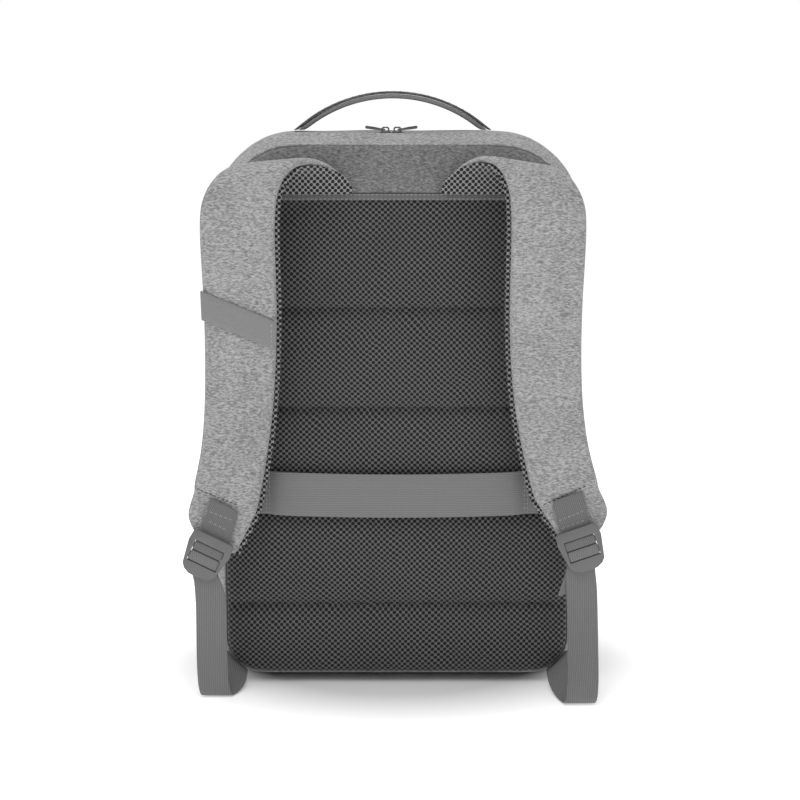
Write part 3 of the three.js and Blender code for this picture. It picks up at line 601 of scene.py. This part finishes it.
@dataclass
class BagBody:
    """The heather body: its skin with the zipper's groove, and its seam piping."""

    width: float = 0.308
    height: float = 0.456
    depth: float = 0.144
    seam_inset: float = 0.012
    base_inset: float = 0.008
    lean: float = 0.020
    top_radius: float = 0.071
    base_radius: float = 0.038
    groove_half: float = 0.0040
    groove_depth: float = 0.0036
    groove_foot: float = 0.170
    corner_steps: int = 9
    side_steps: int = 12
    rows: tuple[tuple[float, float, float, float], ...] = (
        (0.0, 1.0, 1.0, 0.0), (0.03, 0.74, 0.7, 0.0), (0.07, 0.5, 0.4, 0.0),
        (0.12, 0.3, 0.15, 0.0), (0.26, 0.06, 0.0, 0.0), (0.42, 0.0, 0.0, 0.1),
        (0.6, 0.0, 0.0, 0.3), (0.72, 0.12, 0.0, 0.55), (0.83, 0.35, 0.0, 0.8),
        (0.92, 1.1, 0.7, 1.0), (0.97, 2.1, 1.7, 1.0), (1.0, 3.4, 3.2, 1.0))
    zipper_depth: float = 0.17
    zipper_edge: float = 0.17
    groove_lip: float = 1.3
    groove_wall: float = 0.98
    crown_steps: int = 6
    face_rings: tuple[float, ...] = (0.94, 0.8, 0.6, 0.4, 0.2, 0.06)
    front_crown: float = 0.002
    zipper_line: float = -0.0475
    zipper_clear: float = 0.02
    base_clear: float = 0.03
    slack: float = 0.0011
    slack_from: float = -0.06
    wide_slack: float = 14.0
    fine_slack: float = 34.0
    back_piping: float = 0.0013
    front_piping: float = 0.0015
    piping_out: float = 0.0006

    def outline(self, side: float, base: float) -> list[tuple[float, float]]:
        """The bag's outline in x and z.

        Args:
            side: inset from the widest outline.
            base: inset from the floor.

        Returns:
            Points round the outline.
        """
        half, top = self.width / 2 - side, self.height - side
        radius, foot = self.top_radius - side, self.base_radius - base
        low, high = base + foot, top - radius
        rise = [low + (high - low) * i / self.side_steps for i in range(1, self.side_steps)]

        def bend(x: float, z: float, r: float, start: float) -> list[tuple[float, float]]:
            """Points of a quarter turn about a corner's centre."""
            angles = [math.radians(start + 90 * i / (self.corner_steps - 1))
                      for i in range(self.corner_steps)]
            return [(x + r * math.cos(a), z + r * math.sin(a)) for a in angles]

        across = self.crown_steps
        inner = half - radius
        crown = [(inner - 2 * inner * i / across, top) for i in range(1, across)]
        floor = half - foot
        sole = [(-floor + 2 * floor * i / across, base) for i in range(1, across)]
        return ([(half, z) for z in rise] + bend(inner, high, radius, 0) + crown
                + bend(-inner, high, radius, 90) + [(-half, z) for z in reversed(rise)]
                + bend(-floor, low, foot, 180) + sole + bend(floor, low, foot, 270))

    def section(self, share: float, side: float, base: float, lean: float,
                sunk: float = 0.0) -> list[Vector]:
        """One ring of the skin.

        Args:
            share: place from back to front.
            side: share of the seam's inset.
            base: share of the base's inset.
            lean: share of the front's lean.
            sunk: how far the zipper's groove is sunk here.

        Returns:
            The ring's points.
        """
        y = -self.depth / 2 + self.depth * share
        plain = self.outline(self.seam_inset * side, self.base_inset * base)
        deep = self.outline(self.seam_inset * side + sunk, self.base_inset * base + sunk)
        ring = []
        for (x, z), (u, w) in zip(plain, deep):
            if z > self.groove_foot:
                x, z = u, w
            ring.append(Vector((x, y - self.lean * lean * (z / self.height) ** 2, z)))
        return ring

    def rings(self) -> list[list[Vector]]:
        """All the rings from back to front, with the zipper's groove and the two faces."""
        edge = self.groove_half / self.depth
        at, inset = self.zipper_depth, self.zipper_edge
        lip, wall, deep = edge * self.groove_lip, edge * self.groove_wall, self.groove_depth
        groove = [(at - lip, 0.0), (at - edge, 0.0), (at - wall, deep),
                  (at + wall, deep), (at + edge, 0.0), (at + lip, 0.0)]
        shell = [(row[0], self.section(*row)) for row in self.rows]
        shell += [(share, self.section(share, inset, 0.0, 0.0, sunk)) for share, sunk in groove]
        body = [ring for _, ring in sorted(shell, key=lambda item: item[0])]

        def face(ring: list[Vector], swell: float) -> list[list[Vector]]:
            """Rings that close a face, with a slight crown."""
            middle = Vector((0, 0, self.height * 0.5))
            made = []
            for share in self.face_rings:
                inner = []
                for point in ring:
                    x, z = point.x * share, middle.z + (point.z - middle.z) * share
                    tilt = self.lean * (z / self.height) ** 2 if swell > 0 else 0.0
                    edge_tilt = self.lean * (point.z / self.height) ** 2 if swell > 0 else 0.0
                    crown = swell * (1 - share ** 2)
                    inner.append(Vector((x, point.y + edge_tilt - tilt + crown, z)))
                made.append(inner)
            return made

        return list(reversed(face(body[0], 0.0))) + body + face(body[-1], self.front_crown)

    def skin(self, material: bpy.types.Material) -> bpy.types.Object:
        """Build the skin of the bag.

        Args:
            material: heather cloth.

        Returns:
            The piece, which stands for the shell.
        """
        bm = bmesh.new()
        loops = []
        for ring in self.rings():
            verts = [bm.verts.new(point) for point in ring]
            loops.append([bm.edges.new((verts[i], verts[(i + 1) % len(verts)]))
                          for i in range(len(verts))])
        for near, far in zip(loops, loops[1:]):
            bmesh.ops.bridge_loops(bm, edges=near + far)
        for loop in (loops[0], loops[-1]):
            bmesh.ops.contextual_create(bm, geom=loop)
        bmesh.ops.recalc_face_normals(bm, faces=bm.faces[:])
        bmesh.ops.subdivide_edges(bm, edges=bm.edges[:], cuts=1, use_grid_fill=True)
        bm.normal_update()
        for vert in bm.verts:
            soft = (noise.noise(vert.co * self.wide_slack)
                    + 0.5 * noise.noise(vert.co * self.fine_slack))
            clear = (min(abs(vert.co.y - self.zipper_line) / self.zipper_clear, 1.0)
                     * min(vert.co.z / self.base_clear, 1.0))
            if vert.co.y > self.slack_from:
                vert.co += vert.normal * (self.slack * soft * clear)
        obj = publish(bm, "bag_body_skin", material, ["bag_shell"])
        subdivide(obj, 1)
        return obj

    def tube(self, points: Sequence[Vector], radius: float, name: str,
             material: bpy.types.Material) -> bpy.types.Object:
        """A closed cord of piping.

        Args:
            points: its path.
            radius: of the cord.
            name: the piece's name.
            material: its finish.

        Returns:
            The piece.
        """
        bm = bmesh.new()
        loops = []
        centre = Vector((0, points[0].y, self.height / 2))
        for i, point in enumerate(points):
            tangent = (points[(i + 1) % len(points)] - points[i - 1]).normalized()
            back = Vector((0, 1, 0))
            out = back.cross(tangent).normalized()
            if out.dot(point - centre) < 0:
                out.negate()
            made = bmesh.ops.create_circle(bm, cap_ends=False, segments=8, radius=radius,
                                           matrix=Matrix((
                                               (out.x, back.x, tangent.x, point.x),
                                               (out.y, back.y, tangent.y, point.y),
                                               (out.z, back.z, tangent.z, point.z),
                                               (0, 0, 0, 1))))
            loops.append(list({edge for vert in made["verts"] for edge in vert.link_edges}))
        for near, far in zip(loops, loops[1:] + loops[:1]):
            bmesh.ops.bridge_loops(bm, edges=near + far)
        bmesh.ops.recalc_face_normals(bm, faces=bm.faces[:])
        return publish(bm, name, material)

    def build(self, cloth: bpy.types.Material) -> None:
        """Build the skin and the piping round the back seam and the front panel."""
        self.skin(cloth)
        ring = [point + Vector((0, -self.piping_out, 0))
                for point in self.section(0.0, 0.93, 0.9, 0.0)]
        self.tube(ring, self.back_piping, "back_seam_piping", cloth)
        self.tube(self.section(0.9, 0.82, 0.45, 0.96), self.front_piping, "front_seam_piping",
                  cloth)


@dataclass
class BackPanel:
    """The mesh pad with its sewn channels, the yoke, the binding and the trolley band."""

    channels: tuple[float, ...] = (0.3117, 0.2297, 0.1477, 0.0657)
    binding_low: float = 0.4003
    binding_top: float = 0.4057
    face: float = -0.0843
    back: float = -0.0723
    half_width: float = 0.142
    band_low: float = 0.138
    band_top: float = 0.184
    sewn_at: float = 0.106
    pucker_pitch: float = 0.011
    pucker: float = 0.0007
    pucker_reach: float = 0.009
    channel_depth: float = 0.0026
    channel_width: float = 0.0030
    channel_ease: float = 0.018
    slack: float = 0.0007
    foot: float = 0.012
    edge_ease: float = 0.02
    margin: float = 0.004
    band_free: float = 0.08
    band_press: float = 0.3
    front_reach: float = 0.0075
    rim: float = 0.002
    rim_ease: float = 0.012
    seam_margin: float = 0.016
    seam_gap: float = 0.0012
    band_seam: tuple[float, float] = (0.143, 0.179)
    tape_seams: tuple[float, float] = (0.0011, 0.0009)

    def pad_freedom(self, place: Vector) -> float:
        """How far a place of the pad may swell, from 0 to 1."""
        from_channel = min(abs(place.z - z) for z in self.channels)
        free = min(from_channel / self.channel_ease, 1.0)
        free *= min((self.half_width - abs(place.x)) / self.edge_ease, 1.0)
        free *= min(max(self.binding_low - place.z, 0.0) / self.edge_ease, 1.0)
        free *= min(max(place.z - self.foot, 0.0) / self.edge_ease, 1.0)
        free *= min(max(self.back - self.margin - place.y, 0.0) / self.margin, 1.0)
        if self.band_low - self.margin < place.z < self.band_top + self.margin:
            free *= 0.0 if abs(place.x) > self.band_free else 0.5
        return max(free, 0.0)

    def pad(self, material: bpy.types.Material) -> bpy.types.Object:
        """Build the padded mesh panel.

        Args:
            material: spacer mesh.

        Returns:
            The piece, which stands for the pad.
        """
        obj = publish(copy_node("back_pad"), "back_pad_mesh", material, ["back_pad"])
        Inflation(voxel=0.004, cap=0.003).run(obj, self.pad_freedom)
        for vertex in obj.data.vertices:
            place = vertex.co
            if place.y > self.face + self.front_reach:
                continue
            inward = max(self.half_width - self.rim - abs(place.x), 0.0)
            side = min(inward / self.rim_ease, 1.0)
            gap = min(abs(place.z - z) for z in self.channels)
            crease = self.channel_depth * math.exp(-(gap / self.channel_width) ** 2)
            wave = math.sin(2 * math.pi * place.x / self.pucker_pitch
                            + 3.0 * noise.noise(Vector((place.x * 30, 0, place.z * 4))))
            pucker = self.pucker * wave * math.exp(-gap / self.pucker_reach)
            soft = self.slack * noise.noise(Vector((place.x * 22, 3.0, place.z * 30)))
            under = self.band_press if self.band_low < place.z < self.band_top else 1.0
            vertex.co.y += side * (crease + under * (pucker + abs(soft)))
        obj.data.shade_smooth()
        return obj

    def yoke(self, material: bpy.types.Material) -> bpy.types.Object:
        """Build the heather yoke above the pad, in a darker heather that is painted shade."""
        bm = copy_node("back_yoke")
        crease_edges(bm, 60, 0.6)
        obj = publish(bm, "back_yoke_cloth", material, ["back_yoke"])
        subdivide(obj, 2)
        return obj

    def binding(self, material: bpy.types.Material) -> bpy.types.Object:
        """Build the tape between pad and yoke, with rounded edges."""
        bm = copy_node("yoke_binding")
        bmesh.ops.bevel(bm, geom=bm.edges[:], offset=0.0006, offset_type="OFFSET", segments=3,
                        profile=0.5, affect="EDGES", material=-1)
        return publish(bm, "yoke_binding_tape", material, ["yoke_binding"])

    def build(self, kit: "Wardrobe", stitches: Stitches, dark: Stitches) -> None:
        """Build the panel and sew it.

        Args:
            kit: the finishes.
            stitches: light thread.
            dark: dark thread.
        """
        pad = self.pad(kit.mesh)
        self.yoke(kit.heather_painted_shade)
        tape = self.binding(kit.binding)
        band = soft_copy("trolley_strap", kit.band)
        on_tape, on_band, on_pad = tree_of(tape), tree_of(band), tree_of(pad)
        reach = self.half_width - self.seam_margin
        low, top = self.band_seam
        for z in (self.binding_low + self.tape_seams[0], self.binding_top - self.tape_seams[1]):
            stitches.row(on_tape, (-reach, z), (reach, z), width=0.0005)
        for side in (-1, 1):
            for x in (self.sewn_at - self.seam_gap, self.sewn_at + self.seam_gap):
                stitches.row(on_band, (side * x, low), (side * x, top), width=WEBBING_THREAD)
        for z in self.channels:
            dark.row(on_pad, (-reach, z), (reach, z), length=0.003, gap=0.0012)


def soft_copy(node: str, material: bpy.types.Material, levels: int = 2,
              crease: float = 0.75, angle: float = 55) -> bpy.types.Object:
    """Replace a CAD node of cloth by its smooth copy.

    Args:
        node: the CAD node.
        material: the finish.
        levels: of subdivision.
        crease: how firm its sharp edges stay.
        angle: smallest fold that counts as sharp, in degrees.

    Returns:
        The piece.
    """
    bm = copy_node(node)
    crease_edges(bm, angle, crease)
    obj = publish(bm, f"{node}_cloth", material, [node])
    subdivide(obj, levels)
    return obj


def hard_copy(node: str, material: bpy.types.Material, edge: float,
              body: str = "bag") -> bpy.types.Object:
    """Replace a hard CAD node by a copy with rounded edges.

    Args:
        node: the CAD node.
        material: the finish.
        edge: how much its edges are rounded.
        body: the body that it moves with.

    Returns:
        The piece.
    """
    bm = bmesh.new()
    bm.from_mesh(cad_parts[node].data)
    bmesh.ops.remove_doubles(bm, verts=bm.verts[:], dist=MERGE_DISTANCE)
    bmesh.ops.dissolve_limit(bm, angle_limit=math.radians(4), verts=bm.verts[:],
                             edges=bm.edges[:])
    sharp = [e for e in bm.edges
             if len(e.link_faces) == 2 and e.calc_face_angle(0.0) > math.radians(30)]
    bmesh.ops.bevel(bm, geom=sharp, offset=edge, offset_type="OFFSET", segments=2, profile=0.5,
                    affect="EDGES", clamp_overlap=True, material=-1)
    obj = publish(bm, f"{node}_rounded", material, [node], body)
    obj.data.set_sharp_from_angle(angle=math.radians(40))
    return obj


@dataclass
class ShoulderStrap:
    """One padded strap with its lining, tab, ladder lock and adjuster webbing."""

    label: str
    side: int
    end_seam: Seam
    tab_seam: Seam
    tab_hem: Seam

    def build(self, kit: "Wardrobe", stitches: Stitches, dark: Stitches) -> None:
        """Build the strap and sew it.

        Args:
            kit: the finishes.
            stitches: light thread.
            dark: dark thread.
        """
        padding = soft_copy(f"strap_{self.label}", kit.heather, crease=0.3)
        lining = soft_copy(f"strap_lining_{self.label}", kit.lining, crease=0.3)
        tab_finish = kit.tab_left if self.side < 0 else kit.tab_right
        tab = soft_copy(f"strap_tab_{self.label}", tab_finish, crease=0.85)
        soft_copy(f"adjuster_webbing_{self.label}", kit.webbing, crease=0.85)
        hard_copy(f"ladder_lock_{self.label}", kit.plastic, 0.0005)
        on_strap, on_tab = tree_of(padding), tree_of(tab)
        dark.row(on_strap, *self.end_seam, length=0.003, gap=0.0006, width=0.0009)
        stitches.row(on_tab, *self.tab_seam, width=WEBBING_THREAD)
        stitches.row(on_tab, *self.tab_hem, width=WEBBING_THREAD)


@dataclass
class Zipper:
    """The arched zipper: its tape, its coil and the two sliders with their pulls."""

    half: float = 0.154
    top: float = 0.456
    radius: float = 0.071
    inset: float = 0.00204
    sunk: float = 0.0006
    foot: float = 0.172
    middle_y: float = -0.04752
    tooth_pitch: float = 0.0014
    corner: int = 120
    tooth: Place = (0.0009, 0.0034, 0.0006)

    def path(self) -> list[Vector]:
        """Points along the coil's crest from its left foot to its right one."""
        side = self.inset + self.sunk
        half, top, radius = self.half - side, self.top - side, self.radius - side
        points = [Vector((-half, self.middle_y, self.foot))]
        for centre, start in ((-half + radius, 180.0), (half - radius, 90.0)):
            for i in range(self.corner + 1):
                angle = math.radians(start - 90.0 * i / self.corner)
                points.append(Vector((centre + radius * math.cos(angle), self.middle_y,
                                      top - radius + radius * math.sin(angle))))
        return points + [Vector((half, self.middle_y, self.foot))]

    def teeth(self, material: bpy.types.Material) -> None:
        """Lay the coil's turns across the tape, along the whole arch."""
        bm = bmesh.new()
        points = self.path()
        length, width, height = self.tooth
        walked = 0.0
        for start, end in zip(points, points[1:]):
            span = (end - start).length
            along = (end - start).normalized()
            out = Vector((0, 1, 0)).cross(along)
            while walked < span:
                place = start + along * walked
                matrix = Matrix((
                    (along.x * length, 0.0, out.x * height, place.x),
                    (0.0, width, 0.0, place.y),
                    (along.z * length, 0.0, out.z * height, place.z),
                    (0, 0, 0, 1)))
                bmesh.ops.create_uvsphere(bm, u_segments=6, v_segments=4, radius=0.5,
                                          matrix=matrix)
                walked += self.tooth_pitch
            walked -= span
        publish(bm, "zipper_coil_turns", material)

    def build(self, kit: "Wardrobe") -> None:
        """Build the zipper.

        Args:
            kit: the finishes.
        """
        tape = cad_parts["main_zipper"]
        tape.data.materials.clear()
        tape.data.materials.append(kit.zipper)
        self.teeth(kit.coil)
        for label in ("left", "right"):
            hard_copy(f"zip_slider_{label}", kit.metal, 0.00025)
            hard_copy(f"zip_pull_{label}", kit.metal, 0.00025, f"pull_{label}")


@dataclass
class CarryHandle:
    """The arched top handle in two layers."""

    centre_x: float = -0.0036
    front_y: float = -0.0265
    stitch_span: float = 0.066
    stitch_steps: int = 46
    stitch_share: float = 0.72
    edge_in: float = 0.0028
    thread: float = 0.0007

    def build(self, kit: "Wardrobe", stitches: Stitches) -> None:
        """Build both layers and the row of stitches along the cover's front edge.

        Args:
            kit: the finishes.
            stitches: light thread.
        """
        core = soft_copy("handle_core", kit.handle, crease=0.6)
        cover = soft_copy("handle_cover", kit.cover, crease=0.6)
        tree = tree_of(cover)
        steps, y = self.stitch_steps, self.front_y + self.edge_in
        last = None
        for i in range(steps + 1):
            x = self.centre_x + self.stitch_span * (2 * i / steps - 1)
            place, normal, _, _ = tree.ray_cast(Vector((x, y, ABOVE_THE_BAG)),
                                                Vector((0, 0, -1)))
            if place is not None and last is not None and i % 2 == 0:
                stitches.add(last, last.lerp(place, self.stitch_share), normal, self.thread)
            last = place


@dataclass
class KeeperBand:
    """The webbing laid across the left strap."""

    inner_seam: Seam = ((-0.1, 0.304), (-0.1, 0.283))

    def build(self, kit: "Wardrobe", stitches: Stitches) -> None:
        """Build the band and the stitches at its inner end.

        Args:
            kit: the finishes.
            stitches: light thread.
        """
        band = soft_copy("keeper_band", kit.keeper, crease=0.85)
        stitches.row(tree_of(band), *self.inner_seam, width=WEBBING_THREAD)


class Wardrobe:
    """All the finishes, built once from the shared groups."""

    def __init__(self) -> None:
        """Build the groups and every finish."""
        groups = Groups(build_fleck_group(), build_hole_group(), build_rib_group())

        def ribbed(name: str, dark: float, light: float, across: Run = Run.X,
                   along: Run = Run.Z, turn: float = 0.0) -> bpy.types.Material:
            """A webbing finish."""
            finish = Webbing(name, dark, light, roughness=0.85, bump=0.0004, sheen=0.1,
                             across=across, along=along, turn=turn)
            return finish.build(groups)

        self.heather = HeatherCloth("grey_heather", 116, 182).build(groups)
        # The yoke's heather is darker than the body's: painted shade for the shade that falls on
        # the yoke between the straps.
        self.heather_painted_shade = HeatherCloth("yoke_heather_painted_shade", 84, 140).build(groups)
        # The dark level is the holes: partly the mesh's dark inner layer, partly painted shade
        # inside them.
        self.mesh = SpacerMesh("back_mesh", 2, 108, 0.9, 0.0010).build(groups)
        self.lining = SpacerMesh("strap_mesh", 10, 150, 0.9, 0.0006).build(groups)
        self.webbing = ribbed("adjuster_ribs", 88, 132)
        self.tab_left = ribbed("left_tab_ribs", 80, 124, turn=-26.0)
        self.tab_right = ribbed("right_tab_ribs", 80, 124, turn=19.0)
        self.band = ribbed("trolley_band_ribs", 98, 136, Run.Z, Run.X)
        self.keeper = ribbed("keeper_ribs", 108, 146, Run.Z, Run.X, 23.0)
        self.handle = ribbed("handle_core_ribs", 84, 132, Run.Y, Run.X)
        self.binding = ribbed("binding_tape", 86, 108, Run.Z, Run.X)
        self.zipper = ribbed("zipper_tape_weave", 40, 66, Run.Y, Run.Z)
        self.coil = Hard("zipper_coil", 40, 60, 0.4, 0.00005).build(groups)
        self.plastic = Hard("satin_plastic", 96, 110, 0.45, 0.00004).build(groups)
        self.metal = Hard("gunmetal", 84, 104, 0.34, 0.00003, metallic=0.85).build(groups)
        self.cover = HeatherCloth("handle_cover_cloth", 66, 108).build(groups)
        self.thread = HeatherCloth("light_thread", 150, 185).build(groups)
        self.dark_thread = HeatherCloth("dark_thread", 26, 52).build(groups)


@dataclass
class Studio:
    """Pale floor with a painted glow, soft light and the camera at the photograph's view."""

    target: Place = (0.0025, -0.044, 0.232)
    distance: float = 1.85
    elevation: float = 7.5
    lens: float = 99.4
    lights: tuple[tuple[str, Place, float, float], ...] = field(default=(
        ("key", (-0.6, -1.3, 2.2), 1.6, 17.0),
        ("fill", (1.6, -1.5, 1.0), 2.0, 3.0),
        ("top", (0.0, 0.2, 2.0), 1.4, 13.0)))
    ambient: float = 0.42
    backdrop: float = 0.58
    floor_drop: float = 0.0005

    def build(self) -> None:
        """Build the floor, the world, the lights and the camera."""
        self.floor()
        self.world()
        aim = Vector(self.target)
        for name, place, size, power in self.lights:
            data = bpy.data.lights.new(name, "AREA")
            data.size, data.energy = size, power
            lamp = bpy.data.objects.new(name, data)
            lamp.location = place
            lamp.rotation_euler = (aim - Vector(place)).to_track_quat("-Z", "Y").to_euler()
            bpy.context.scene.collection.objects.link(lamp)
        data = bpy.data.cameras.new("photo_view")
        data.lens, data.sensor_width, data.clip_end = self.lens, 36.0, 50.0
        camera = bpy.data.objects.new("photo_view", data)
        tilt = math.radians(self.elevation)
        camera.location = aim + Vector((0, -math.cos(tilt), math.sin(tilt))) * self.distance
        camera.rotation_euler = (math.pi / 2 - tilt, 0.0, 0.0)
        bpy.context.scene.collection.objects.link(camera)
        bpy.context.scene.camera = camera
        bpy.context.scene.view_settings.view_transform = "Standard"

    def floor(self) -> None:
        """A wide pale floor with a painted glow that grows away from the bag."""
        bm = bmesh.new()
        bmesh.ops.create_grid(bm, x_segments=1, y_segments=1, size=14.0)
        mesh = bpy.data.meshes.new("floor")
        bm.to_mesh(mesh)
        bm.free()
        material = bpy.data.materials.new("pale_floor_painted_glow")
        material.use_nodes = True
        shader = material.node_tree.nodes["Principled BSDF"]
        shader.inputs["Base Color"].default_value = (0.9, 0.9, 0.9, 1.0)
        shader.inputs["Roughness"].default_value = 0.9
        graph = Graph(material.node_tree)
        place = graph.add("ShaderNodeTexCoord").outputs["Object"]
        # Painted glow: no emission within 0.12 m of the floor's middle, where the bag stands,
        # rising to 0.7 by 0.26 m, so the floor reads white away from the bag and its shade stays
        # close round it.
        away = graph.add("ShaderNodeVectorMath")
        away.operation = "LENGTH"
        graph.put(away.inputs[0], place)
        painted_glow = graph.add("ShaderNodeMapRange", Value=away.outputs["Value"], From_Min=0.12,
                         From_Max=0.26, To_Min=0.0, To_Max=0.7)
        shader.inputs["Emission Color"].default_value = (1.0, 1.0, 1.0, 1.0)
        graph.put(shader.inputs["Emission Strength"], painted_glow.outputs[0])
        mesh.materials.append(material)
        obj = bpy.data.objects.new("floor", mesh)
        obj.location.z = -self.floor_drop
        bpy.context.scene.collection.objects.link(obj)

    def world(self) -> None:
        """A plain white surround."""
        world = bpy.data.worlds.new("white_surround")
        world.use_nodes = True
        graph = Graph(world.node_tree)
        background = world.node_tree.nodes["Background"]
        background.inputs["Color"].default_value = (1.0, 1.0, 1.0, 1.0)
        seen = graph.add("ShaderNodeLightPath").outputs["Is Camera Ray"]
        graph.put(background.inputs["Strength"],
                  graph.math("MULTIPLY_ADD", seen, self.backdrop, self.ambient))
        bpy.context.scene.world = world


def sew(stitches: Stitches, name: str, material: bpy.types.Material) -> None:
    """Publish all the stitches of one thread as a piece.

    Args:
        stitches: what was laid.
        name: the piece's name.
        material: the thread's finish.
    """
    publish(stitches.bm, name, material)


def straps() -> Iterable[ShoulderStrap]:
    """The two shoulder straps, which hang a little differently."""
    yield ShoulderStrap("left", -1,
                        end_seam=((-0.1626, 0.169), (-0.1288, 0.1552)),
                        tab_seam=((-0.1554, 0.1519), (-0.1328, 0.143)),
                        tab_hem=((-0.1562, 0.1444), (-0.1376, 0.135)))
    yield ShoulderStrap("right", 1,
                        end_seam=((0.1153, 0.1536), (0.1539, 0.1714)),
                        tab_seam=((0.1314, 0.143), (0.1555, 0.1528)),
                        tab_hem=((0.1338, 0.1365), (0.1567, 0.145)))


def main() -> None:
    """Build the backpack's pieces in order."""
    logging.basicConfig(level=logging.INFO, format="%(name)s: %(message)s")
    Studio().build()
    kit = Wardrobe()
    light, dark = Stitches(), Stitches()
    BagBody().build(kit.heather)
    BackPanel().build(kit, light, dark)
    for strap in straps():
        strap.build(kit, light, dark)
    KeeperBand().build(kit, light)
    CarryHandle().build(kit, light)
    Zipper().build(kit)
    sew(light, "light_stitches", kit.thread)
    sew(dark, "dark_stitches", kit.dark_thread)


if __name__ == "__main__":
    main()
